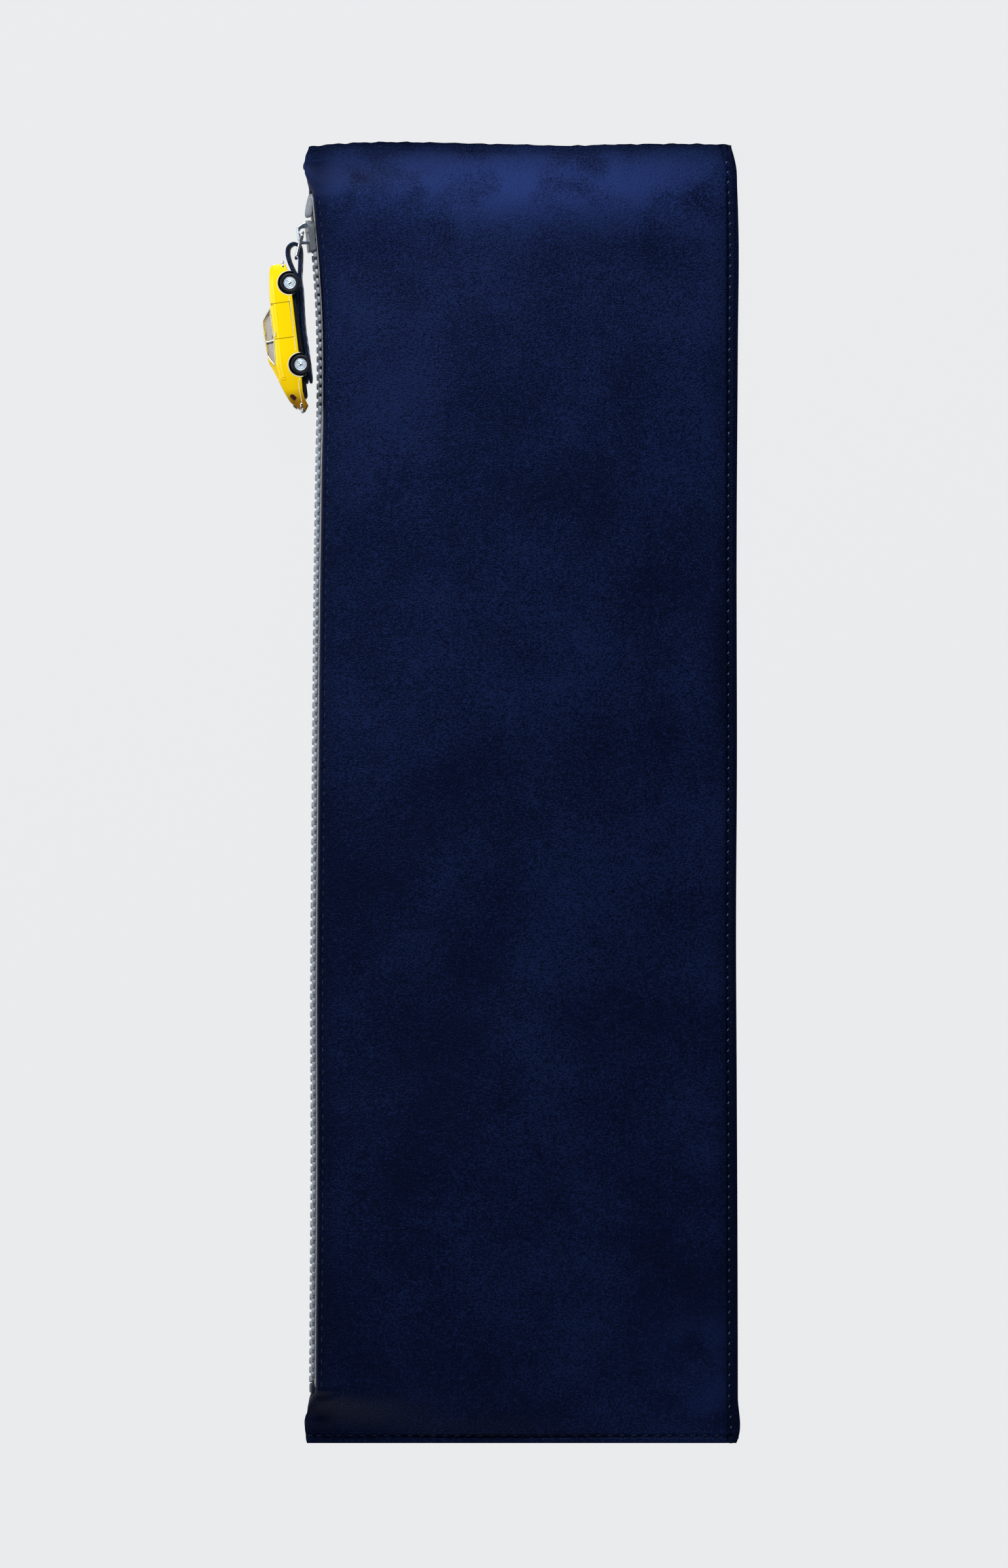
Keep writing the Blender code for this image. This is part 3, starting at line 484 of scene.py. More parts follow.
def leather(name, dark, light, grain=0.46 * MM, seams=False, gloss=0.20):
    """Soft-sheen hide: fine pebbles and wrinkles, cloudy colour, painted light growing towards +Y; with
    seams, painted shade in the seams, puckers, top fold and edges, and a painted sheen near the upper end.
    """
    made = Finish(name, dark, 0.42, Specular_IOR_Level=gloss, Specular_Tint=NAVY_SHEEN)
    pebbles = made.cells(grain, stretch=(0.95, 1.1, 1))
    wrinkles = made.noise(grain * 1.3, 4.0, stretch=(0.85, 1.2, 1), bend=0.6)
    cloud = made.noise(48 * MM, 1.0, bend=0.3)
    patch = made.noise(17 * MM, 1.0, bend=0.4)
    fine = made.noise(2.6 * MM, 3.0)
    tone = (cloud - 0.5) * 1.8 + (patch - 0.5) * 1.0 + (fine - 0.5) * 0.8 + (wrinkles - 0.5) * 6.5
    x, y = made.axes()[:2]
    # painted light: the tone grows lighter towards +Y, the end the key light shines from
    tone = (tone + 0.25 + y * 0.7).clipped()
    height = 0.60 * pebbles + 0.45 * wrinkles + 0.20 * fine
    if seams:
        low_edge = y + HALF_LENGTH
        arch = abs((x * (math.pi / HEM_PITCH)).sine())
        scallop = low_edge.bell(2.3 * MM, 0.45 * MM) * (0.35 + 0.65 * arch)
        ridge = low_edge.bell(3.3 * MM + 0.5 * MM * arch, 0.5 * MM)
        side = x.bell(69.6 * MM, 0.55 * MM)
        dent = abs((y * (math.pi / SIDE_PITCH)).sine())
        side = side * (0.5 + 0.5 * dent)
        # painted shade on the margin outside the sewn side's stitches
        margin_shade = ((x - 69.9 * MM) / (0.5 * MM)).clipped() * (0.55 + 0.6 * (fine - 0.5))
        top_fold = y.bell(218.0 * MM, 1.1 * MM)
        height = height - 1.6 * scallop + 0.5 * ridge - 1.4 * side - 0.8 * top_fold
        # painted shade along the zip side, the sewn side and the upper end, where the leather falls away from
        # the light
        edge_shade = 0.5 * x.bell(-69 * MM, 4.5 * MM) + 0.35 * x.bell(71 * MM, 5 * MM)
        edge_shade = edge_shade + 0.35 * y.bell(217 * MM, 3.5 * MM)
        # painted shade: the pucker arcs, the side seam's groove, the top fold, the margin and the edges
        # darken the colour
        shade = (0.75 * scallop + 0.6 * side + 0.55 * top_fold + margin_shade + edge_shade).clipped()
        tone = (tone * (1 - shade)).clipped()
        darker = tuple(c * 0.35 for c in dark)
        mottle = ((patch - 0.5) * 3.0 + (wrinkles - 0.5) * 2.2 + 0.75).clipped()
        # painted sheen: a lighter band near the upper end and a lighter patch near the lower end of the sewn
        # side, broken up by mottle
        painted_sheen = y.bell(204 * MM, 12 * MM) * x.bell(2 * MM, 80 * MM) * 0.95
        corner = y.bell(-196 * MM, 22 * MM) * x.bell(62 * MM, 16 * MM) * 0.30
        painted_sheen = (painted_sheen + corner) * mottle
        # the painted sheen lifts the colour to a paler navy
        base = made.mix(painted_sheen, made.mix(tone, dark, light), tuple(c * 2.5 for c in light))
        base = made.mix(shade, base, darker)
    else:
        base = made.mix(tone, dark, light)
    made.feed("Base Color", base)
    made.feed("Roughness", (0.36 + 0.16 * fine + 0.10 * pebbles).clipped())
    made.relief(height, 0.25 * MM)
    return made


NAVY = leather("navy_leather", (0.0009, 0.0017, 0.0090), (0.0056, 0.0112, 0.0470), seams=True)
STRAP_HIDE = leather(
    "strap_leather", (0.0045, 0.0085, 0.0220), (0.0150, 0.0270, 0.0600), grain=0.4 * MM, gloss=0.04
)


def woven(name, dark, light, pitch, scale):
    """Herringbone cloth: slanted ribs that turn round every few threads, on the piece's UV in metres."""
    made = Finish(name, dark, 0.9, Sheen_Weight=0.25)
    u, v = made.axes(made.places.outputs["UV"])[:2]
    stripe = (u * (math.pi / scale)).sine()
    slant = abs(u.math("PINGPONG", u, scale)) * 1.1
    rib = ((v + slant) * (2 * math.pi / pitch)).sine()
    thread = (u * (2 * math.pi / (pitch * 0.8))).sine()
    lift = 0.5 + 0.32 * rib + 0.12 * thread
    fuzz = made.noise(0.35 * MM, 2.0)
    made.feed("Base Color", made.mix((lift * 0.8 + fuzz * 0.3 + stripe * 0.06).clipped(), dark, light))
    made.relief(lift + 0.3 * fuzz, 0.12 * MM)
    return made


TAPE_CLOTH = woven("tape_weave", (0.10, 0.105, 0.115), (0.46, 0.48, 0.50), 0.62 * MM, 0.9 * MM)
LINING_WEAVE = woven("lining_weave", (0.016, 0.020, 0.034), (0.060, 0.072, 0.105), 0.8 * MM, 1.6 * MM)


def moulded(name, colour, roughness, blotch=0.2, metallic=0.0, depth=0.04 * MM, **sockets):
    """Moulded or cast stuff: slight cloudiness, faint pits and handling marks."""
    made = Finish(name, colour, roughness, **sockets)
    made.shader.inputs["Metallic"].default_value = metallic
    cloud = made.noise(1.6 * MM, 4.0)
    pits = made.noise(0.22 * MM, 2.0)
    pale = tuple(min(1.0, c * (1 + blotch)) for c in colour)
    deep = tuple(c * (1 - blotch) for c in colour)
    made.feed("Base Color", made.mix(((cloud - 0.3) * 2.2).clipped(), deep, pale))
    made.feed("Roughness", (roughness - 0.07 + 0.14 * cloud).clipped())
    made.relief(0.6 * pits + 0.6 * cloud, depth)
    return made


TEETH_PLASTIC = moulded("teeth_plastic", (0.250, 0.290, 0.350), 0.28, 0.35)
STOP_PLASTIC = moulded("stop_plastic", (0.20, 0.225, 0.26), 0.34, 0.20)
STOP_NAVY = moulded("stop_navy", (0.010, 0.015, 0.030), 0.5, 0.3, Specular_IOR_Level=0.15)
SLIDER_COAT = moulded("slider_coat", (0.135, 0.152, 0.175), 0.34, 0.22, metallic=0.25, depth=0.05 * MM)
BAIL_CHROME = moulded("bail_chrome", (0.62, 0.72, 0.86), 0.12, 0.06, metallic=1.0, depth=0.006 * MM)
BRIGHT = moulded("bright_chrome", (0.84, 0.85, 0.87), 0.10, 0.05, metallic=1.0, depth=0.006 * MM)
HUB_METAL = moulded("hub_metal", (0.60, 0.70, 0.80), 0.26, 0.10, metallic=0.35, depth=0.01 * MM)
BASE_BLACK = moulded("base_black", (0.0050, 0.0055, 0.0075), 0.42, 0.3, Specular_IOR_Level=0.25)
CABIN = moulded("cabin_plastic", (0.060, 0.040, 0.030), 0.55, 0.35)
TYRE = moulded(
    "tyre_rubber", (0.0045, 0.0058, 0.0095), 0.42, 0.3, depth=0.05 * MM, Specular_IOR_Level=0.22
)
LENS_DARK = moulded("lamp_dark", (0.030, 0.007, 0.006), 0.16, 0.3, depth=0.01 * MM)
PALE_TRIM = moulded("pale_trim", (0.80, 0.74, 0.50), 0.32, 0.12, depth=0.01 * MM)
SILVER_TRIM = moulded("silver_trim", (0.70, 0.69, 0.62), 0.28, 0.10, metallic=0.75, depth=0.01 * MM)
SEAM_THREAD = moulded("seam_thread", (0.060, 0.115, 0.240), 0.5, 0.5, depth=0.05 * MM)
THREAD = moulded("navy_thread", (0.011, 0.020, 0.050), 0.6, 0.4, depth=0.05 * MM, Specular_IOR_Level=0.25)
PALE_THREAD = moulded("pale_thread", (0.20, 0.25, 0.33), 0.5, 0.4, depth=0.05 * MM, Sheen_Weight=0.3)
HEAD_GLASS = moulded("lamp_glass", (0.75, 0.80, 0.82), 0.08, 0.05, depth=0.01 * MM)

GLASS = Finish("window_glass", (0.76, 0.725, 0.69), 0.03, Transmission_Weight=0.93, IOR=1.2)
GLASS.feed("Roughness", (0.02 + 0.05 * GLASS.noise(2 * MM, 2.0)).clipped())

# ------------------------------------------------------------------ the pouch's skins
def smooth_step(value, start, end):
    """3t^2 - 2t^3 of the share of the way from start to end."""
    share = np.clip((value - start) / (end - start), 0.0, 1.0)
    return share * share * (3.0 - 2.0 * share)


def hermite(where, table):
    """A cubic Hermite line through a table of (place, value), with slopes from its neighbours."""
    place, value = table[:, 0], table[:, 1]
    slopes = np.gradient(value, place)
    where = np.clip(where, place[0], place[-1])
    at = np.clip(np.searchsorted(place, where) - 1, 0, len(place) - 2)
    span = place[at + 1] - place[at]
    t = (where - place[at]) / span
    rise = t * t * (3 - 2 * t)
    bend = span * slopes[at] * t * (1 - t) ** 2 - span * slopes[at + 1] * t**2 * (1 - t)
    return value[at] * (1 - rise) + value[at + 1] * rise + bend


def chain_x(along):
    """How far across the chain's middle is, at a place along the pouch."""
    return hermite(along, CHAIN)


def leather_edge(along, front):
    """Where a leather's edge is beside the zip."""
    return chain_x(along) + (FRONT_EDGE if front else BACK_EDGE)


def end_fall(along, power):
    """sqrt(1 - t^power): 1 over most of the length, 0 at both ends."""
    return np.sqrt(1.0 - np.clip(np.abs(along) / (HALF_LENGTH - 0.8 * SEAM_INSET), 0, 1) ** power)


def front_height(across, along):
    """Outer height of the front: a rising line plus a half-sine bulge, rounded off at both ends."""
    reach = np.clip((SEAM_X - SEAM_INSET - across) / (2 * SEAM_X - SEAM_INSET), 0, 1)
    section = (EDGE_HEIGHT - SEAM_TOP) * reach + BULGE * np.sin(np.pi * reach**1.2)
    side = smooth_step(reach, 0.62, 0.97)
    steep = 1 - smooth_step(np.abs(along), 200.5 * MM, HALF_LENGTH - 2.0 * MM)
    fall = end_fall(along, 6.0) ** 1.3 * (1 - side) + steep * side
    return SEAM_TOP + section * fall


def soft_hills(across, along, seed, count, size, height):
    """Sum of seeded hills and hollows, height * exp(-(dx^2 + 0.7 dy^2) / size^2) each."""
    rng = np.random.default_rng(seed)
    x = rng.uniform(-0.075, 0.075, count)
    y = rng.uniform(-0.22, 0.22, count)
    lift = rng.normal(0, height, count)
    spread = rng.uniform(0.6, 1.5, count) * size
    total = np.zeros(across.shape)
    for hill_x, hill_y, rise, reach in zip(x, y, lift, spread):
        square = (across - hill_x) ** 2 + 0.7 * (along - hill_y) ** 2
        total += rise * np.exp(-square / reach**2)
    return total


# The larger soft folds: (across, along, height, reach across, reach along, turn)
SLACK_SPOTS = [
    (30, 70, 0.55, 26, 40, 0.5),
    (-4, -75, -0.5, 30, 14, -0.6),
    (-2, -88, 0.5, 34, 12, -0.6),
    (60, -110, 0.7, 12, 26, 0.3),
    (40, -168, 0.8, 22, 12, -0.7),
    (58, -150, -0.6, 12, 18, -0.3),
    (46, -186, -0.6, 26, 9, 0.2),
    (-40, -120, 0.45, 22, 30, 0.4),
    (-52, 196, 0.6, 20, 7, 0.1),
    (10, 200, 0.7, 44, 7, 0.0),
    (-55, 178, -0.5, 16, 6, 0.1),
    (0, 168, -0.5, 46, 14, 0.15),
    (-48, 115, 0.4, 20, 26, 0.2),
    (52, 132, 0.5, 14, 36, 0.1),
    (64, 28, 0.5, 8, 40, 0.0),
    (-40, 20, 0.4, 26, 36, 0.5),
    (-67, -206, -0.8, 7, 4, 0.0),
    (-62, -200, 0.5, 6, 4, 0.3),
]


def slack(across, along):
    """The soft folds, fading out at the seams: turned hills exp(-(a^2 + b^2)), a and b in reaches."""
    total = np.zeros(across.shape)
    for x, y, lift, rx, ry, turn in SLACK_SPOTS:
        dx, dy = across - x * MM, along - y * MM
        a = (dx * math.cos(turn) + dy * math.sin(turn)) / (rx * MM)
        b = (dy * math.cos(turn) - dx * math.sin(turn)) / (ry * MM)
        total += lift * MM * np.exp(-(a * a + b * b))
    total += soft_hills(across, along, 4, 80, 16 * MM, 0.40 * MM)
    total += soft_hills(across, along, 9, 260, 6.5 * MM, 0.12 * MM)
    off_side = smooth_step(SEAM_X - across, 1 * MM, 9 * MM)
    off_ends = smooth_step(HALF_LENGTH - np.abs(along), 2 * MM, 10 * MM)
    return total * off_side * off_ends


def pucker(value, middle, width):
    """e^-((value - middle) / width)^2"""
    return np.exp(-(((value - middle) / width) ** 2))


def panel(share, along, front, drop=0.0, soft=True):
    """Points of a panel's outer surface. share runs from 0 at the sewn side to 1 at the zip side.

    Beside the zip the height falls by FOLD (1 - sqrt(1 - 0.96 t^2)), a quarter round. Past the zip's
    ends the leather curls round to meet the other one: across by sin^1.3 and up by cos of an angle that
    runs to 90 degrees. The two forms are blended by a smooth step along the pouch.
    """
    sewn = hermite(along, SEWN_EDGE)
    edge = leather_edge(along, front)
    across = sewn + share * (edge - sewn)
    flat = front_height(across, along) if front else np.zeros(across.shape)
    fold = np.clip(1 - (across - edge) / FOLD, 0, 1)
    turn_in = FOLD * (1 - np.sqrt(1 - fold**2 * 0.96))
    flat = flat + (-turn_in if front else turn_in * 0.6)
    start = NUB_EDGE + NUB_CURL
    wrinkle = hermite(along, NUB_LINE) + 0.08 * MM * np.sin(along / (0.6 * MM))
    angle = np.clip((share - CURL_FROM) / (1 - CURL_FROM), 0, 1) * np.pi / 2
    rise = 1 - smooth_step(np.abs(along), ZIP_END + 3 * MM, HALF_LENGTH - 2.4 * MM)
    middle = SEAM_TOP / 2 + (ZIP_HEIGHT - SEAM_TOP / 2) * rise
    apart = SEAM_TOP + (0.4 * MM - SEAM_TOP) * rise**12 + 5.6 * MM * rise * (1 - rise)
    middle = middle + (apart / 2 if front else -apart / 2)
    before = sewn + np.minimum(share / CURL_FROM, 1.0) * (start - sewn)
    top = front_height(before, along) if front else np.zeros(before.shape)
    top_at_start = front_height(np.full(share.shape, start), along) if front else np.zeros(share.shape)
    curl_x = np.where(share < CURL_FROM, before, start - (NUB_CURL + wrinkle) * np.sin(angle) ** 1.3)
    curl_z = np.where(share < CURL_FROM, top, middle + (top_at_start - middle) * np.cos(angle))
    closed = smooth_step(np.abs(along), ZIP_END - 1.5 * MM, ZIP_END + 3.0 * MM)
    x = across + (curl_x - across) * closed
    z = flat + (curl_z - flat) * closed
    if front and soft:
        z = z + slack(x, along)
        dimple = smooth_step(SEAM_X - x, 0.5 * MM, 2.6 * MM)
        z = z - 0.35 * MM * (1 - dimple) - 0.5 * MM * pucker(x - sewn, -2.9 * MM, 0.7 * MM)
        seam = pucker(along, 2.4 * MM - HALF_LENGTH, 0.6 * MM)
        z = z - 0.4 * MM * seam * (0.5 + 0.5 * np.abs(np.sin(np.pi * x / HEM_PITCH)))
        z = z - 0.3 * MM * pucker(x - edge, 2.0 * MM, 0.55 * MM) * (1 - closed)
        z = z - 1.1 * MM * pucker(x, -69.5 * MM, 4 * MM) * pucker(along, 213 * MM, 1.6 * MM)
        z = z - 1.6 * MM * pucker(x, -68 * MM, 4.5 * MM) * pucker(along, -209 * MM, 2.2 * MM)
    top_end = hermite(x, TOP_EDGE)
    ragged = 0.12 * MM * np.sin(x / (1.3 * MM)) + 0.1 * MM * np.sin(x / (0.71 * MM))
    y = along + (top_end - HALF_LENGTH + ragged) * smooth_step(along, HALF_LENGTH - 14 * MM, HALF_LENGTH)
    return np.stack([x, y, z + (-drop if front else drop)], -1)


def crowded(count, low, high, pull):
    """count places from low to high, closer at both ends: t - pull sin(2 pi t) / (2 pi)."""
    t = np.linspace(0, 1, count)
    return low + (high - low) * (t - pull * np.sin(2 * np.pi * t) / (2 * np.pi))


def skin(name, shares, rows, front, drop, thickness, material, soft=True):
    """A skin over a panel's surface, with its wall inwards."""
    share, along = np.meshgrid(shares, rows)
    points = panel(share, along, front, drop, soft)
    flat = np.stack([share * 2 * SEAM_X, along], -1).reshape(-1, 2)
    faces = quads(len(rows), len(shares))
    piece = build(name, points.reshape(-1, 3), faces, material, None, flat)
    shape = bmesh.new()
    shape.from_mesh(piece.data)
    if (sum(f.normal.z for f in shape.faces) > 0) != front:
        bmesh.ops.reverse_faces(shape, faces=shape.faces)
    shape.to_mesh(piece.data)
    shape.free()
    walled(piece, thickness)
    return piece


def panel_shares(count, curl_count):
    """Shares across a panel, closer together at its sewn side and round its curl."""
    return np.concatenate([crowded(count, 0, CURL_FROM, 0.75), np.linspace(CURL_FROM, 1, curl_count)[1:]])


for (side, front), columns, count in zip(HALVES, ((96, 26), (60, 16)), (350, 180)):
    along = crowded(count, -HALF_LENGTH, HALF_LENGTH, 0.82)
    hide = skin(
        f"{side}_leather", panel_shares(*columns), along, front, 0.0, LEATHER, NAVY
    )
    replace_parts(hide, f"{side}_panel")
    ride_half(hide, front)

LINING_WALL = 0.5 * MM
lining_shares = np.linspace(0.18, 0.95, 60)
lining_rows = np.linspace(-191.8 * MM, 191.8 * MM, 120)
for side, front in HALVES:
    drop = LEATHER + (0.9 * MM if front else 0.3 * MM)
    lining = skin(
        f"{side}_cloth", lining_shares, lining_rows, front, drop, LINING_WALL, LINING_WEAVE,
        soft=False,
    )
    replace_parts(lining, f"{side}_lining")
    ride_half(lining, front)

# ------------------------------------------------------------------ stitches
STITCH, STITCH_FACES = blob((1.0, 1.0, 1.0), 2.2, 6, 4)


def stitches(name, middles, along, up, length, radius, material):
    """Short threads that follow a seam, each a stretched bead half sunk in the leather."""
    along = along / np.linalg.norm(along, axis=1)[:, None]
    side = np.cross(up, along)
    axes = np.stack([along * length / 2, side * radius, np.broadcast_to(up, along.shape) * radius], 1)
    points, faces = many(STITCH, STITCH_FACES, middles, axes)
    return build(name, points, faces, material, None)


def on_panel(x, y, front, lift):
    """Points just above the front leather or under the back leather at a place seen from above."""
    sewn = hermite(y, SEWN_EDGE)
    share = (x - sewn) / (leather_edge(y, front) - sewn)
    points = panel(np.clip(share, 0, 1), y, front)
    points[:, 2] += lift if front else -lift
    return points


def heading(count, direction):
    """The same direction for each of several stitches."""
    return np.tile([direction], (count, 1))


def seam_rows(front):
    """Each seam's name, and its stitches' middles, headings, length, radius and thread."""
    down = np.arange(-213.5 * MM, 214.5 * MM, SIDE_PITCH)
    long_seam = on_panel(hermite(down, SEWN_EDGE) - 2.9 * MM, down, front, 0.06 * MM)
    low = np.arange(-64.8 * MM, 68.5 * MM, HEM_PITCH)
    low_hem = on_panel(low, np.full(low.shape, -216.2 * MM), front, 0.0)
    beside = np.arange(-198.5 * MM, 198.0 * MM, HEM_PITCH)
    zip_hem = on_panel(chain_x(beside) + (2.5 * MM if front else 1.4 * MM), beside, front, 0.0)
    hem_ways = np.vstack([heading(len(low), [1.0, 0.1, 0]), heading(len(beside), [0.05, 1.0, 0])])
    return [
        ("side", long_seam, heading(len(down), [0.5, 1.0, 0]), 1.1 * MM, 0.17 * MM, SEAM_THREAD),
        ("hem", np.vstack([low_hem, zip_hem]), hem_ways, 2.0 * MM, 0.18 * MM, THREAD),
    ]


for side, front in HALVES:
    for seam, middles, ways, length, radius, colour in seam_rows(front):
        thread = stitches(
            f"{side}_{seam}_stitches", middles, ways, np.array([0, 0, 1.0]), length, radius, colour,
        )
        ride_half(thread, front)


# ------------------------------------------------------------------ zip
def on_chain(points):
    """Moves points of a straight upright chain at x = 0 onto the chain's line, leaning with its roll."""
    points = np.array(points, float)
    points[..., 0] += chain_x(points[..., 1]) + (points[..., 2] - ZIP_HEIGHT) * math.tan(ZIP_ROLL)
    return points


TOOTH_PITCH = 3.06 * MM
TEETH = 126
TEETH_TOP = 188.0 * MM


def tooth():
    """One moulded tooth: a head that tapers from its shoulders, and two lobes that grip the tape."""
    head, head_faces = blob((1.2 * MM, 1.02 * MM, 1.55 * MM), 4.0, 10, 5)
    narrow = 1 - 0.42 * smooth_step(-head[:, 2], -0.2 * MM, 1.5 * MM)
    head[:, 1] *= narrow
    head[:, 2] += 1.05 * MM
    outer, lobe_faces = blob((0.60 * MM, 1.16 * MM, 0.85 * MM), 4.5, 10, 4)
    inner = outer.copy()
    outer = outer + np.array([-0.84 * MM, 0, 2.45 * MM])
    inner = inner + np.array([0.84 * MM, 0, 2.45 * MM])
    return joined((head, head_faces), (outer, lobe_faces), (inner, lobe_faces))


def tooth_row(name, side):
    """One half's teeth, a pitch apart; the back row stands half a pitch lower and upside down."""
    points, faces = tooth()
    middles = np.zeros((TEETH, 3))
    shift = 0 if side > 0 else TOOTH_PITCH / 2
    middles[:, 1] = TEETH_TOP - 1.05 * MM - shift - np.arange(TEETH) * TOOTH_PITCH
    middles[:, 2] = ZIP_HEIGHT
    axes = np.tile(np.diag([1.0, 1.0, float(side)]), (TEETH, 1, 1))
    placed, copies = many(points, faces, middles, axes)
    if side < 0:
        copies = [f[::-1] for f in copies]
    return build(name, on_chain(placed), copies, TEETH_PLASTIC, None)


TAPE_WALL = 0.45 * MM
TAPE_BEND = 0.8 * MM
TAPE_REACH = {1: 5.1 * MM, -1: 5.9 * MM}  # from the chain's middle to the turned-in flap, front and back


def tape(name, side):
    """A woven strip: upright beside the teeth, a quarter round of TAPE_BEND, then flat under the leather."""
    rows = np.linspace(-199.5 * MM, 200.0 * MM, 260)
    upright = np.linspace(1.9 * MM, TAPE_REACH[side] - TAPE_BEND, 9)
    bend = np.linspace(0, np.pi / 2, 6)[1:]
    flap = np.linspace(TAPE_BEND, 4.3 * MM, 6)[1:]
    across = np.concatenate([np.zeros(9), TAPE_BEND * (1 - np.cos(bend)), flap])
    flat_reach = np.full(len(flap), upright[-1] + TAPE_BEND)
    reach = np.concatenate([upright, upright[-1] + TAPE_BEND * np.sin(bend), flat_reach])
    width = np.concatenate([[0], np.cumsum(np.hypot(np.diff(across), np.diff(reach)))])
    y, x = np.meshgrid(rows, across, indexing="ij")
    z = ZIP_HEIGHT + side * np.broadcast_to(reach, x.shape)
    points = on_chain(np.stack([x, y, z], -1).reshape(-1, 3))
    flat = np.stack(np.broadcast_arrays(width[None], rows[:, None]), -1).reshape(-1, 2)
    faces = quads(len(rows), len(across))
    piece = build(name, points, faces, TAPE_CLOTH, None, flat)
    walled(piece, TAPE_WALL, offset=0)
    return piece


def top_stop(name, side):
    """A rounded bar that narrows upwards and leans with the end of the chain."""
    points, faces = blob((0.95 * MM, 4.1 * MM, 1.35 * MM), 3.0, 20, 12)
    points[:, 0] *= 1 - 0.15 * points[:, 1] / (4 * MM)
    place = [-71.2 * MM + 0.35 * MM * side, 197.2 * MM, ZIP_HEIGHT + side * 1.9 * MM]
    return build(name, turned(points, math.radians(-9)) + place, faces, STOP_PLASTIC, None)


for made, name, node in (
    (tooth_row, "tooth_row", "teeth"), (tape, "ribbon", "tape"), (top_stop, "stop", "top_stop")
):
    for half, front in HALVES:
        piece = made(f"{half}_{name}", 1 if front else -1)
        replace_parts(piece, f"{half}_{node}")
        ride_half(piece, front)
softened("bottom_stop", STOP_NAVY, "back_half", 0.6 * MM, 3)
softened("slider_body", SLIDER_COAT, "slider", 0.42 * MM, 3)
softened("slider_bail", BAIL_CHROME, "slider", 0.28 * MM, 3)

# ------------------------------------------------------------------ ring
RING_PIVOT = np.array([-73.5, 188.0, 8.0]) * MM
RING_LEAN = math.radians(14.0)
RING_LENGTH = 8.9 * MM
RING_REACH = 5.55 * MM  # half its width, to the wire's middle
RING_CORNER = 1.4 * MM
RING_WIRE = 0.55 * MM  # radius


def ring_outline():
    """The ring's middle line as (down, across): a rectangle with quarter-round corners."""
    turn = np.radians(np.linspace(0, 90, 8))
    c, s = RING_CORNER * np.cos(turn), RING_CORNER * np.sin(turn)
    high, low = -RING_CORNER, RING_CORNER - RING_LENGTH
    right, left = RING_REACH - RING_CORNER, RING_CORNER - RING_REACH
    down = np.concatenate([high + s, high + c, low - s, low - c])
    return down, np.concatenate([right + c, left - s, left - c, right + s])


down, across = ring_outline()
ring_path = RING_PIVOT + np.stack([down * math.sin(RING_LEAN), down * math.cos(RING_LEAN), across], -1)
ring_points = carried(ring_path, ring_of(RING_WIRE, 16), (1, 0.05, 0.02), closed=True)
ring = build(
    "wire_ring", ring_points.reshape(-1, 3), capped(len(ring_path), 16, closed=True), BRIGHT, "ring"
)
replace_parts(face_out(ring), "pull_ring")

# ------------------------------------------------------------------ strap
LOOP = np.array(
    [(-74.9, 172.6), (-76.1, 174.9), (-77.2, 177.3), (-77.9, 179.4), (-78.2, 181.2), (-77.9, 183.1),
     (-76.3, 184.3), (-74.4, 183.6), (-73.9, 181.6), (-73.9, 178.6), (-74.0, 175.6), (-74.2, 172.6)]
)
TAIL = np.array([(-74.4, 168.6), (-73.7, 157.2), (-72.6, 149.0), (-71.7, 142.2), (-71.2, 137.4)])
STRAP_HEIGHT = 8.0 * MM
STRAP_LAYER = 1.22 * MM
STRAP_APART = 0.70  # mm from the tail's middle line to the middle of each layer
STRAP_WIDTH = 9.0 * MM
STRAP_TILT = math.radians(3.0)
STRAP_ROWS = 220


def strap_path():
    """The strap's middle line: up the left layer, round the ring, and down the right one."""
    ahead = directions(TAIL)
    side = np.stack([-ahead[:, 1], ahead[:, 0]], -1) * STRAP_APART
    line = smooth_line(np.vstack([(TAIL - side)[::-1], LOOP, TAIL + side]), STRAP_ROWS) * MM
    return np.column_stack([line, np.full(STRAP_ROWS, STRAP_HEIGHT)])


def strap_skin(line):
    """A superellipse carried along the line, smaller at its ends, with its top leaning and a little wavy."""
    order = np.arange(STRAP_ROWS)
    ends = np.minimum(order, order[::-1]) / STRAP_ROWS
    pinch = np.clip(1 - ends / 0.025, 0, 1)
    section = rounded_box(STRAP_LAYER, STRAP_WIDTH, 6.0, 28)
    points = carried(line, section, scale=np.sqrt(1 - 0.75 * pinch**2))
    lift = points[..., 2] - (STRAP_HEIGHT - STRAP_WIDTH / 2)
    wobble = 0.12 * MM * np.sin(points[..., 1] / (4.2 * MM)) * lift / STRAP_WIDTH
    points[..., 0] += wobble - lift * math.tan(STRAP_TILT)
    return points.reshape(-1, 3)


strap_line = strap_path()
strap = build(
    "leather_strap", strap_skin(strap_line), capped(STRAP_ROWS, 28), STRAP_HIDE, "fob"
)
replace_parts(face_out(strap), "fob_strap")

lengths = np.concatenate([[0], np.cumsum(np.linalg.norm(np.diff(strap_line, axis=0), axis=1))])
marks = np.arange(3, 41, 3.3) * MM
for side, sign in SIDES:
    which = np.interp(marks, lengths, np.arange(STRAP_ROWS, dtype=float))
    if sign > 0:
        which = STRAP_ROWS - 1 - which
    at = np.clip(which.astype(int), 1, STRAP_ROWS - 3)
    step = strap_line[at + 1] - strap_line[at - 1]
    step /= np.linalg.norm(step, axis=1)[:, None]
    face = np.cross(step, [0, 0, 1.0])
    face *= np.sign(face[:, :1]) * sign
    spots = strap_line[at] + face * (STRAP_LAYER / 2 + 0.02 * MM) + np.array([-0.31 * MM, 0, 2.6 * MM])
    axes = np.stack([step * 1.1 * MM, np.tile([[0, 0, 0.17 * MM]], (len(at), 1)), face * 0.17 * MM], 1)
    points, faces = many(STITCH, STITCH_FACES, spots, axes)
    build(f"strap_{side}_stitches", points, faces, PALE_THREAD, "fob")

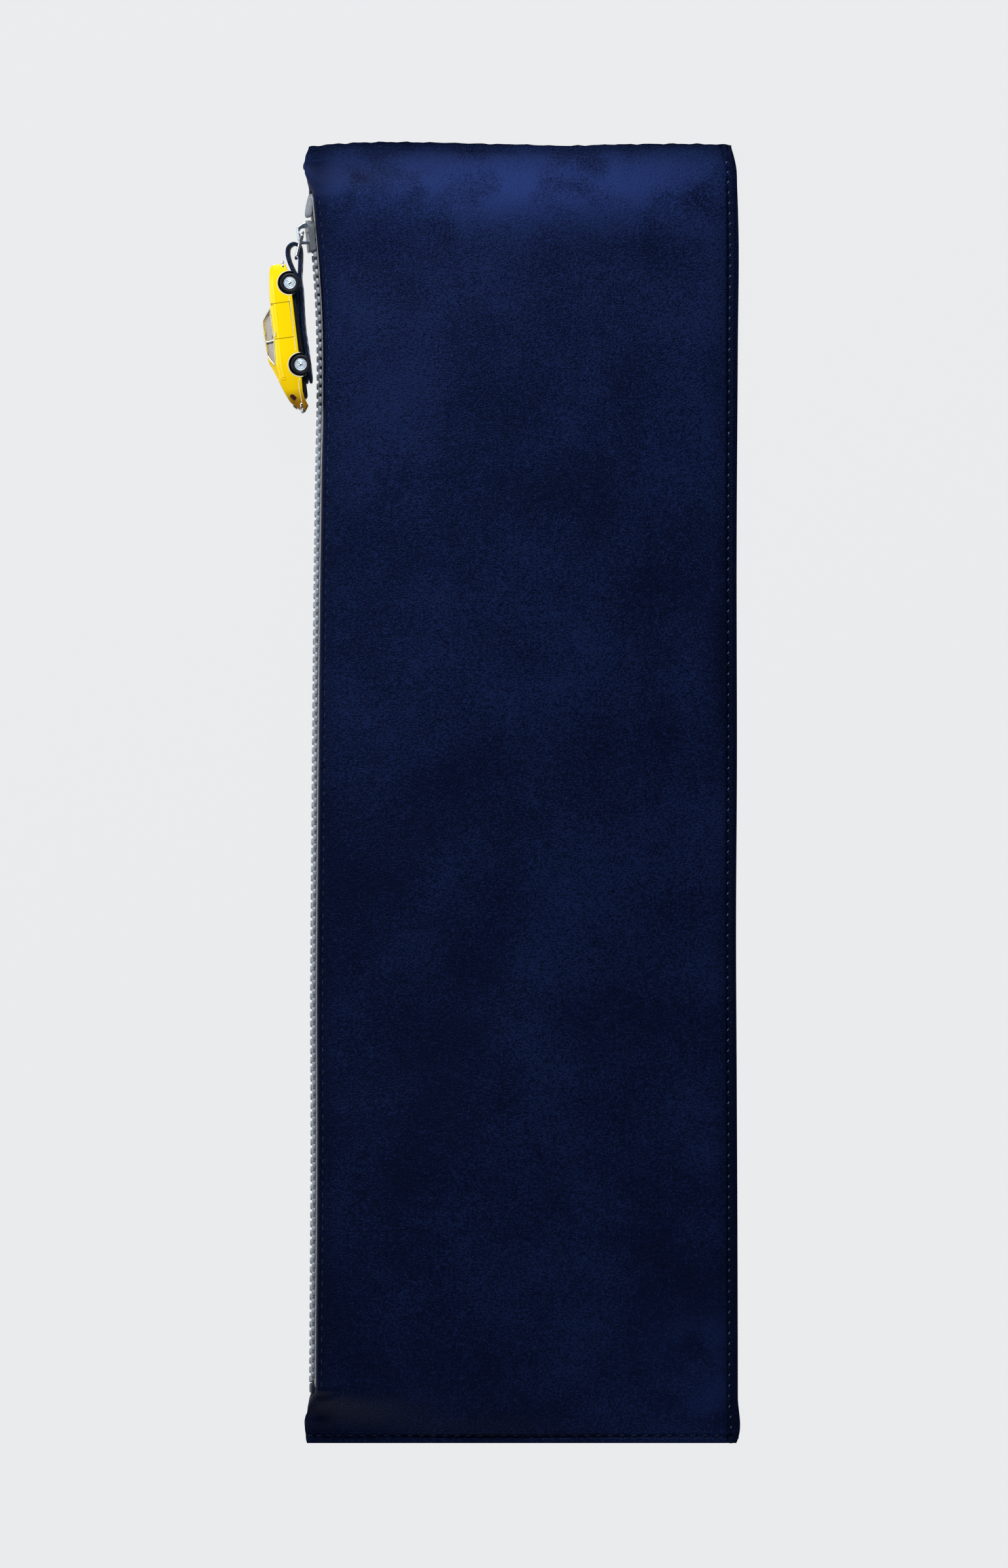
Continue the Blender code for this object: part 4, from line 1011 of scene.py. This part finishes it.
# ------------------------------------------------------------------ toy car
CAR_PLACE = np.array([-75.9, 157.2, 9.7]) * MM
CAR_TURN = math.radians(97.6)
HALF_WIDTH = 9.3 * MM
FRONT_AXLE, REAR_AXLE = 13.8 * MM, -13.8 * MM
AXLES = (("front", FRONT_AXLE), ("rear", REAR_AXLE))
ARCH_RADIUS = 4.05 * MM
ARCH_HEIGHT = 0.15 * MM  # of the arches' middles above the axles
BELT_SHARE, ROOF_SHARE = 0.45, 0.7  # where car_skin turns in at the windows, and over at the roof
CROWN = 0.35 * MM  # how far the roof's edge lies below its middle
SHELL_WALL = 0.45 * MM


def to_world(points):
    """From the car's own directions (forward, up, right) to the pouch's."""
    return turned(points, CAR_TURN) + CAR_PLACE


# Side view of the body, (along, up): its top, the lower edge of its windows, and its underside
TOP_LINE = np.array(
    [(-29.0, 1.2), (-28.7, 2.5), (-27.4, 3.9), (-25.6, 5.4), (-22.3, 6.8), (-17.65, 8.4), (-13.8, 9.9),
     (-11.45, 10.7), (-8.1, 11.0), (-4.8, 11.1), (-1.5, 11.15), (1.2, 11.05), (2.2, 10.75), (4.3, 9.5),
     (6.4, 7.75), (7.2, 7.5), (9.5, 7.5), (15.65, 6.9), (19.0, 6.3), (20.0, 5.9), (20.4, 5.2)]
) * MM
BELT_LINE = np.array(
    [(-29.0, 0.9), (-28.7, 2.0), (-27.4, 3.4), (-25.6, 4.9), (-22.3, 6.2), (-17.6, 7.5), (-13.0, 7.9),
     (-4.0, 7.45), (7.0, 7.25), (15.65, 6.5), (19.0, 5.9), (20.0, 5.5), (20.4, 4.8)]
) * MM
LOW_LINE = np.array(
    [(-29.0, 0.5), (-27.4, -0.6), (-25.0, 0.2), (-22.7, 0.5), (-18.0, 0.2), (-9.7, 0.1), (9.2, -0.2),
     (18.0, 0.0), (20.0, 0.6), (20.4, 1.2)]
) * MM


def car_skin(x, s, inset=0.0):
    """Points of the right half of the body shell.

    s runs 0 to BELT_SHARE up the flank, to ROOF_SHARE up the cabin side, and to 1 at the middle of the
    roof or bonnet. The flank bows out by sin^0.7 with a crease; the cabin side leans in by t^1.15; the
    top is crowned by cos^0.75.
    """
    top = np.interp(x, *TOP_LINE.T) - inset
    belt = np.minimum(np.interp(x, *BELT_LINE.T), top - 0.15 * MM)
    low = np.minimum(np.interp(x, *LOW_LINE.T), belt - 0.3 * MM)
    nose = 1 - 0.13 * np.clip((x - 8 * MM) / (12.4 * MM), 0, 1) ** 2.4
    stern = 1 - 0.16 * np.clip((-x - 12 * MM) / (17.2 * MM), 0, 1) ** 2.2
    plan = HALF_WIDTH * nose * stern - inset
    cabin = smooth_step(x, -19.5 * MM, -13.0 * MM) * (1 - smooth_step(x, 2.5 * MM, 7.0 * MM))
    waist = plan - 0.35 * MM
    crest = waist - 0.5 * MM - 1.9 * MM * cabin
    flank = np.clip(s / BELT_SHARE, 0, 1)
    side = np.clip((s - BELT_SHARE) / (ROOF_SHARE - BELT_SHARE), 0, 1)
    over = np.clip((s - ROOF_SHARE) / (1 - ROOF_SHARE), 0, 1)
    bow = np.sin(np.pi * flank) ** 0.7
    crease = 0.10 * MM * pucker(flank, 0.80, 0.035)
    y_flank = low + (belt - low) * flank
    w_flank = plan - 0.45 * MM + 0.45 * MM * bow + crease - 0.35 * MM * flank**3
    y_side = belt + (top - CROWN - belt) * side
    foot = plan - 0.8 * MM
    w_side = foot + (crest - foot) * side**1.15
    turn = over * np.pi / 2
    y_over = top - CROWN + CROWN * np.sin(turn) ** 0.55
    w_over = crest * np.cos(turn) ** 0.75
    y = np.where(s < BELT_SHARE, y_flank, np.where(s < ROOF_SHARE, y_side, y_over))
    w = np.where(s < BELT_SHARE, w_flank, np.where(s < ROOF_SHARE, w_side, w_over))
    return np.stack([x, y, w], -1)


def window_mask(x, y, s):
    """True where the cabin has glass: four side windows, the windscreen and the rear window."""
    post = np.interp(y, [7.9 * MM, 10.6 * MM], [5.7 * MM, 2.1 * MM])
    tail = np.interp(y, [8.1 * MM, 9.0 * MM, 10.5 * MM], [-12.6 * MM, -12.5 * MM, -9.2 * MM])
    belt = np.interp(x, [-12.6 * MM, -5 * MM, 6 * MM], [8.5 * MM, 8.0 * MM, 7.95 * MM])
    side = (y > belt) & (y < 10.45 * MM) & (x < post) & (x > tail) & (s < ROOF_SHARE) & (s > BELT_SHARE)
    side &= np.abs(x + 4.7 * MM) > 0.38 * MM
    screen = (s > 0.745) & (x > 2.1 * MM) & (x < 6.3 * MM)
    rear = (s > 0.745) & (x < -12.6 * MM) & (x > -18.2 * MM)
    return side | screen | rear


def arch_push(points):
    """Moves grid points that are near a wheel arch's circle onto it, so the opening has a clean edge."""
    for middle in (FRONT_AXLE, REAR_AXLE):
        dx, dy = points[..., 0] - middle, points[..., 1] - ARCH_HEIGHT
        r = np.hypot(dx, dy)
        near = (np.abs(r - ARCH_RADIUS) < 0.16 * MM) & (points[..., 1] < 6 * MM)
        k = np.where(near, ARCH_RADIUS / np.maximum(r, 1e-9), 1.0)
        points[..., 0] = middle + dx * k
        points[..., 1] = ARCH_HEIGHT + dy * k
    return points


def both_sides(right):
    """A grid of the car's right half, row by row, carried on over the middle to its left half."""
    left = right[:, ::-1] * [1, 1, -1]
    return np.concatenate([right, left[:, 1:]], 1)


stations = np.concatenate(
    [np.linspace(-29.0, -25, 26), np.linspace(-25, 20.0, 210)[1:], [20.15, 20.27, 20.36, 20.4]]
) * MM
levels = np.concatenate(
    [
        np.linspace(0, BELT_SHARE, 38),
        np.linspace(BELT_SHARE, ROOF_SHARE, 26)[1:],
        np.linspace(ROOF_SHARE, 1.0, 20)[1:],
    ]
)
grid_x, grid_s = np.meshgrid(stations, levels, indexing="ij")
shell = both_sides(arch_push(car_skin(grid_x, grid_s)))
shell_s = np.concatenate([grid_s, grid_s[:, ::-1][:, 1:]], 1)
cap_share = np.array([0.86, 0.6, 0.3])[:, None, None]
nose_middle = np.array([20.4 * MM, 3.1 * MM, 0])
nose_rows = nose_middle + (shell[-1] - nose_middle)[None] * cap_share
nose_rows[..., 0] += np.array([0.12, 0.16, 0.18])[:, None] * MM
tail_middle = np.array([-28.9 * MM, 0.8 * MM, 0])
tail_rows = tail_middle + (shell[0] - tail_middle)[None] * cap_share[::-1]
rows = np.concatenate([tail_rows, shell, nose_rows])
count = rows.shape[1]
faces = quads(len(rows), count)
flat_rows = rows.reshape(-1, 3)
centres = flat_rows[faces].mean(1)
cap_s = np.zeros((3, count))
whole_s = np.concatenate([cap_s, shell_s, cap_s]).reshape(-1)[faces].mean(1)
open_arch = np.zeros(len(faces), bool)
for middle in (FRONT_AXLE, REAR_AXLE):
    r = np.hypot(centres[:, 0] - middle, centres[:, 1] - ARCH_HEIGHT)
    open_arch |= (r < ARCH_RADIUS) & (np.abs(centres[:, 2]) > 6.0 * MM)
glazed = window_mask(centres[:, 0], centres[:, 1], whole_s)
kept = faces[~(open_arch | glazed)]

PAINT = Finish(
    "yellow_enamel", (0.90, 0.60, 0.010), 0.24, Coat_Weight=0.35, Coat_Roughness=0.08, Specular_IOR_Level=0.4,
    Specular_Tint=(1.0, 0.80, 0.10, 1.0),
)
car_spot = PAINT.node(
    "ShaderNodeMapping",
    {"vector_type": "TEXTURE"},
    {
        "Vector": PAINT.places.outputs["Object"],
        "Location": tuple(CAR_PLACE),
        "Rotation": (0.0, 0.0, CAR_TURN),
    },
).outputs[0]
ahead, up, out = PAINT.axes(car_spot)
low_door = up.bell(0.95 * MM, 0.10 * MM) * abs(ahead - 1.6 * MM).below(6.0 * MM)
between = up.above(0.9 * MM) * up.below(7.6 * MM)
door_front = ahead.bell(7.55 * MM, 0.10 * MM) * between
door_back = ahead.bell(-4.35 * MM, 0.10 * MM) * between
grooves = (door_front + door_back + low_door).clipped() * abs(out).above(6.8 * MM)
# painted shade: the yellow deepens to a dark gold towards the tail, with a little orange-peel noise
rear_shade = ((ahead * -1.0 - 8 * MM) / (26 * MM)).clipped()
orange_peel = PAINT.noise(0.9 * MM, 2.0)
shade_share = (rear_shade * 0.85 + (orange_peel - 0.5) * 0.1).clipped()
paint = PAINT.mix(shade_share, (0.93, 0.645, 0.001), (0.64, 0.36, 0.002))
# painted shade: dark brown at the very end of the tail
stern = ((ahead * -1.0 - 21.5 * MM) / (4.5 * MM)).clipped()
paint = PAINT.mix(stern * 0.85, paint, (0.17, 0.055, 0.004))
PAINT.feed("Base Color", PAINT.mix(grooves * 0.88, paint, (0.05, 0.028, 0.004)))
PAINT.feed("Roughness", 0.20 + 0.10 * orange_peel)
PAINT.relief(orange_peel * 0.12 - 1.5 * grooves, 0.10 * MM)

body_shell = build("car_shell", to_world(flat_rows), kept.tolist(), PAINT, None)
shape = bmesh.new()
shape.from_mesh(body_shell.data)
bmesh.ops.remove_doubles(shape, verts=shape.verts, dist=1e-7)
bmesh.ops.delete(shape, geom=[v for v in shape.verts if not v.link_faces], context="VERTS")
upward = sum(f.normal.z * f.calc_area() for f in shape.faces if f.calc_center_median().z > 15 * MM)
if upward < 0:
    bmesh.ops.reverse_faces(shape, faces=shape.faces)
shape.to_mesh(body_shell.data)
shape.free()
body_shell.data.materials.append(CABIN.material)
walled(body_shell, SHELL_WALL).material_offset = 1
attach(body_shell, "fob")
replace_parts(body_shell, "car_body")

# clear moulding behind the windows
glass_x = np.linspace(-19.0, 7.2, 90) * MM
glass_s = np.concatenate([np.linspace(0.44, ROOF_SHARE, 14), np.linspace(ROOF_SHARE, 1.0, 16)[1:]])
pane = both_sides(car_skin(*np.meshgrid(glass_x, glass_s, indexing="ij"), inset=0.55 * MM))
glazing = build(
    "clear_panes", to_world(pane.reshape(-1, 3)), quads(*pane.shape[:2]).tolist(), GLASS, None
)
walled(glazing, 0.25 * MM)
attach(glazing, "fob")
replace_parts(glazing, "car_glazing")
softened("car_interior", CABIN, "fob", 0.3 * MM)
softened("car_chassis", BASE_BLACK, "fob", 0.15 * MM)


def trim(name, path, radius, material, flatten=1.0, up=(0, 0, 1.0)):
    """A thin rod along a path in the car's own directions."""
    path = np.asarray(path, float)
    taper = np.ones(len(path))
    taper[0] = taper[-1] = 0.35
    points = carried(path, ring_of(radius, 8, flatten), up, scale=taper)
    piece = build(name, to_world(points.reshape(-1, 3)), capped(len(path), 8), material, "fob")
    return face_out(piece)


def flank_at(x, y):
    """The flank's width out from the car's middle at a place along and up."""
    probe = car_skin(*np.meshgrid(x, np.linspace(0.0, ROOF_SHARE, 300), indexing="ij"))
    nearest = np.abs(probe[..., 1] - np.asarray(y)[:, None]).argmin(1)
    return probe[np.arange(len(x)), nearest, 2]


def on_flank(line, sign, proud=0.0, count=60):
    """A line of (along, up) laid on one flank."""
    line = smooth_line(np.asarray(line, float) * MM, count)
    w = flank_at(line[:, 0], line[:, 1]) + proud
    return np.column_stack([line, sign * w])


# (along, up) in mm, from the windscreen's foot over the side windows
DRIP_RAIL = [(6.2, 7.75), (4.3, 9.2), (2.0, 10.65), (-2, 10.72), (-8.5, 10.62), (-10.6, 10.0), (-12.9, 8.6)]
for side, sign in SIDES:
    for where, middle in AXLES:
        turn = np.radians(np.linspace(-8, 188, 60))
        line = np.stack(
            [middle + ARCH_RADIUS * np.cos(turn), ARCH_HEIGHT + ARCH_RADIUS * np.sin(turn)], -1
        )
        w = flank_at(line[:, 0], line[:, 1])
        trim(
            f"{where}_{side}_arch_lip", np.column_stack([line, sign * (w - 0.05 * MM)]), 0.17 * MM, PALE_TRIM,
        )
    trim(
        f"{side}_sill_strip", on_flank([(9.2, 0.75), (2, 0.85), (-9.2, 0.95)], sign, 0.02 * MM), 0.13 * MM,
        PALE_TRIM,
    )
    trim(
        f"{side}_tail_strip", on_flank([(-18.2, 0.9), (-21, 1.5), (-26.4, 1.3)], sign, 0.02 * MM), 0.13 * MM,
        PALE_TRIM,
    )
    trim(
        f"{side}_drip_rail",
        on_flank(DRIP_RAIL, sign, 0.05 * MM, 90), 0.24 * MM, SILVER_TRIM,
    )
    trim(
        f"{side}_belt_rail", on_flank([(6.3, 7.75), (0, 7.75), (-5, 7.8), (-12.9, 8.45)], sign, 0.03 * MM),
        0.16 * MM, SILVER_TRIM,
    )
    trim(
        f"{side}_door_post", on_flank([(-4.55, 7.7), (-4.75, 9.2), (-4.85, 10.6)], sign, 0.04 * MM, 16),
        0.42 * MM, BRIGHT, flatten=0.5,
    )
    handle = on_flank([(-1.7, 7.0), (-2.7, 7.05), (-3.7, 7.1)], sign, 0.22 * MM, 14)
    trim(f"{side}_door_handle", handle, 0.2 * MM, BRIGHT)
    cap_turn = np.linspace(0, 2 * np.pi, 24, endpoint=False)
    cap_middle = np.array([-17.7, 6.2]) * MM
    if sign > 0:
        cap_line = cap_middle + 0.55 * MM * np.stack([np.cos(cap_turn), np.sin(cap_turn)], -1)
        w = flank_at(cap_line[:, 0], cap_line[:, 1])
        path = np.column_stack([cap_line, w + 0.05 * MM])
        cap = build(
            "fuel_cap_rim",
            to_world(carried(path, ring_of(0.11 * MM, 8), (0, 0, 1.0), closed=True).reshape(-1, 3)),
            capped(24, 8, closed=True), PAINT, "fob",
        )
        face_out(cap)
    middle = np.array([-24.3, 3.9]) * MM
    w = flank_at(middle[:1], middle[1:])[0]
    points, faces = blob((1.15 * MM, 0.75 * MM, 0.4 * MM), 5.0, 20, 8)
    points = turned(points, math.radians(38)) + [*middle, sign * (w - 0.15 * MM)]
    face_out(build(f"{side}_side_lamp", to_world(points), faces, LENS_DARK, "fob"))

# bumpers: a bar across the car with its ends wrapped round the corners
for name, x, y, back in (("front", 21.0, 1.6, 2.4), ("rear", -29.2, 1.5, -2.6)):
    half = 8.1
    line = smooth_line(
        np.array(
            [(x - back, y, half - 0.1), (x - back * 0.35, y, half - 0.25), (x - 0.1 * back, y, half - 1.1),
             (x, y, half - 2.6), (x, y, 0), (x, y, 2.6 - half), (x - 0.1 * back, y, 1.1 - half),
             (x - back * 0.35, y, 0.25 - half), (x - back, y, 0.1 - half)]
        ) * MM,
        80,
    )
    bar = carried(line, rounded_box(0.50 * MM, 0.80 * MM, 3.0, 14), (0, 1.0, 0))
    piece = build(f"{name}_bumper_bar", to_world(bar.reshape(-1, 3)), capped(80, 14), BRIGHT, "fob")
    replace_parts(face_out(piece), f"{name}_bumper")
    for side, sign in SIDES:
        points, faces = blob((0.36 * MM, 0.62 * MM, 0.36 * MM), 2.4, 14, 8)
        points += np.array([x + 0.2 * np.sign(back), y + 0.1, sign * (half - 2.2)]) * MM
        face_out(build(f"{name}_{side}_overrider", to_world(points), faces, BRIGHT, "fob"))

for side, sign in SIDES:
    lamp_z = sign * 6.1 * MM
    turn = np.linspace(0, 2 * np.pi, 28, endpoint=False)
    profile = np.array([(0.02, 0.42), (0.5, 0.36), (0.85, 0.22), (1.02, 0.05), (1.06, -0.3)]) * MM
    dome = np.stack(
        [
            20.3 * MM + profile[:, 1][:, None] * np.ones(28),
            4.3 * MM + profile[:, 0][:, None] * np.cos(turn),
            lamp_z + profile[:, 0][:, None] * np.sin(turn),
        ],
        -1,
    )
    lamp = build(
        f"{side}_lamp_dome", to_world(dome.reshape(-1, 3)), capped(5, 28), HEAD_GLASS, "fob"
    )
    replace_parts(face_out(lamp), f"{side}_head_lamp")
    rim_line = np.stack(
        [np.full(28, 20.3 * MM), 4.3 * MM + 1.15 * MM * np.cos(turn), lamp_z + 1.15 * MM * np.sin(turn)], -1
    )
    rim = to_world(carried(rim_line, ring_of(0.16 * MM, 8), (1.0, 0, 0), closed=True).reshape(-1, 3))
    face_out(build(f"{side}_lamp_rim", rim, capped(28, 8, True), BRIGHT, "fob"))
    points, faces = blob((0.80 * MM, 0.28 * MM, 1.45 * MM), 4.0, 20, 9)
    points = turned(points, math.radians(47)) + np.array([-27.55, 3.75, sign * 5.3]) * MM
    lamp = build(f"{side}_rear_lens", to_world(points), faces, LENS_DARK, "fob")
    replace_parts(face_out(lamp), f"{side}_tail_lamp")

for row in range(6):
    bar_line = np.column_stack(
        [np.full(12, 20.62), np.full(12, 3.3 + 0.38 * row), np.linspace(-4.5, 4.5, 12)]
    ) * MM
    trim(f"grille_bar_{row + 1}", bar_line, 0.10 * MM, SILVER_TRIM, up=(0, 1.0, 0))
points, faces = blob((11.5 * MM, 0.75 * MM, 1.5 * MM), 7.0, 24, 9)
skirt = points + np.array([-0.2, -0.55, 4.75]) * MM
face_out(build("right_skirt", to_world(skirt), faces, BASE_BLACK, "fob"))
points, faces = blob((4.0 * MM, 0.9 * MM, 1.4 * MM), 5.0, 24, 9)
skirt = points + np.array([-21.2, -0.1, 4.75]) * MM
face_out(build("right_tail_skirt", to_world(skirt), faces, BASE_BLACK, "fob"))
base_line = np.column_stack([np.linspace(-24.6, 17.4, 60), np.full(60, 0.95), np.full(60, 6.25)]) * MM
trim("chassis_bead", base_line, 0.12 * MM, SILVER_TRIM)


# wheels
def lathe(name, middle, profile, around, material, body, sign, lowest=-1.0):
    """A closed profile of (radius, out) turned about the axle, cut flat where it would go below lowest."""
    turn = np.linspace(0, 2 * np.pi, around, endpoint=False)
    profile = np.asarray(profile, float) * MM
    points = np.stack(
        [
            middle + profile[:, :1] * np.cos(turn),
            np.maximum(profile[:, :1] * np.sin(turn), lowest),
            sign * np.broadcast_to(profile[:, 1:], (len(profile), around)),
        ],
        -1,
    )
    faces = capped(len(profile), around, closed=True)
    return face_out(build(name, to_world(points.reshape(-1, 3)), faces, material, body))


# Closed outlines in mm: (radius, distance from the car's middle)
TYRE_PROFILE = [
    (2.18, 8.95), (2.35, 9.12), (2.75, 9.17), (3.12, 9.10), (3.35, 8.86), (3.44, 8.45), (3.45, 7.9),
    (3.44, 7.35), (3.34, 6.9), (3.0, 6.65), (2.6, 6.62), (2.2, 6.8), (2.14, 7.9),
]
HUB_PROFILE = [
    (0.55, 8.86), (0.80, 8.90), (0.92, 8.62), (1.12, 8.58), (1.22, 8.76), (1.34, 8.78), (1.44, 8.55),
    (1.66, 8.50), (1.78, 8.72), (1.98, 8.84), (2.05, 8.72), (2.06, 8.0), (2.04, 7.0), (1.0, 6.95),
    (0.56, 7.1),
]
WELL_PROFILE = [(0.65, 5.9), (4.02, 5.9), (4.02, 8.75), (3.72, 8.75), (3.72, 6.3), (0.65, 6.3)]
for where, middle in AXLES:
    body = f"{where}_wheels"
    for side, sign in SIDES:
        tyre_line = smooth_line(TYRE_PROFILE, 44, closed=True)
        tyre = lathe(f"{where}_{side}_rubber", middle, tyre_line, 56, TYRE, body, sign)
        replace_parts(tyre, f"{where}_{side}_tyre")
        lathe(
            f"{where}_{side}_well", middle, WELL_PROFILE, 56, BASE_BLACK, "fob", sign, -1.6 * MM
        )
        hub = lathe(f"{where}_{side}_wheel", middle, HUB_PROFILE, 48, HUB_METAL, body, sign)
        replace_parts(hub, f"{where}_{side}_hub")
        points, faces = blob((0.62 * MM, 0.62 * MM, 0.35 * MM), 2.0, 18, 8)
        points += np.array([middle, 0, sign * 8.75 * MM])
        face_out(build(f"{where}_{side}_cap", to_world(points), faces, BRIGHT, body))
        spokes = np.radians(np.arange(0, 360, 30.0))
        pin, pin_faces = blob((0.30 * MM, 0.07 * MM, 0.09 * MM), 2.5, 6, 3)
        outward = np.stack([np.cos(spokes), np.sin(spokes), np.zeros(12)], -1)
        spots = 1.52 * MM * outward + [middle, 0, sign * 8.56 * MM]
        across = np.stack([-np.sin(spokes), np.cos(spokes), np.zeros(12)], -1)
        axes = np.stack([outward, across, np.tile([[0, 0, 1.0]], (12, 1))], 1)
        points, faces = many(pin, pin_faces, spots, axes)
        build(f"{where}_{side}_spokes", to_world(points), faces, BRIGHT, body)
    softened(f"{where}_axle", BRIGHT, body, 0.08 * MM)

# ------------------------------------------------------------------ floor and light
FLOOR = 4.0  # metres from its middle to each side
floor_mesh = bpy.data.meshes.new("floor")
corners = [(-FLOOR, -FLOOR, 0), (FLOOR, -FLOOR, 0), (FLOOR, FLOOR, 0), (-FLOOR, FLOOR, 0)]
floor_mesh.from_pydata(corners, [], [(0, 1, 2, 3)])
floor = bpy.data.objects.new("floor", floor_mesh)
floor.location.z = -0.4 * MM
bpy.context.scene.collection.objects.link(floor)
PALE = Finish("pale_floor", (0.012, 0.012, 0.012), 1.0, Emission_Color=(0.815, 0.823, 0.838, 1.0))
PALE.shader.inputs["Emission Strength"].default_value = 1.0
PALE.shader.inputs["Specular IOR Level"].default_value = 0.0
floor_mesh.materials.append(PALE.material)

world = bpy.data.worlds.new("studio")
world.use_nodes = True
world.node_tree.nodes["Background"].inputs[0].default_value = (0.80, 0.88, 1.0, 1.0)
world.node_tree.nodes["Background"].inputs[1].default_value = 0.10
bpy.context.scene.world = world


def softbox(name, place, aim, width, height, watts, colour=(1, 1, 1)):
    """A rectangular light at a place, turned towards another."""
    light = bpy.data.lights.new(name, "AREA")
    light.shape = "RECTANGLE"
    light.size, light.size_y = width, height
    light.energy = watts
    light.color = colour
    made = bpy.data.objects.new(name, light)
    made.location = place
    made.rotation_euler = (Vector(aim) - Vector(place)).to_track_quat("-Z", "Y").to_euler()
    bpy.context.scene.collection.objects.link(made)


softbox("key", (-0.10, 0.62, 0.55), (0.0, 0.14, 0.0), 0.50, 0.25, 6.0)
softbox("fill_left", (-0.80, 0.15, 0.45), (-0.05, 0.05, 0.0), 0.5, 0.7, 3.2)
softbox("fill_low", (0.40, -0.75, 0.42), (0.03, -0.17, 0.0), 0.40, 0.30, 2.4, (0.72, 0.84, 1.0))
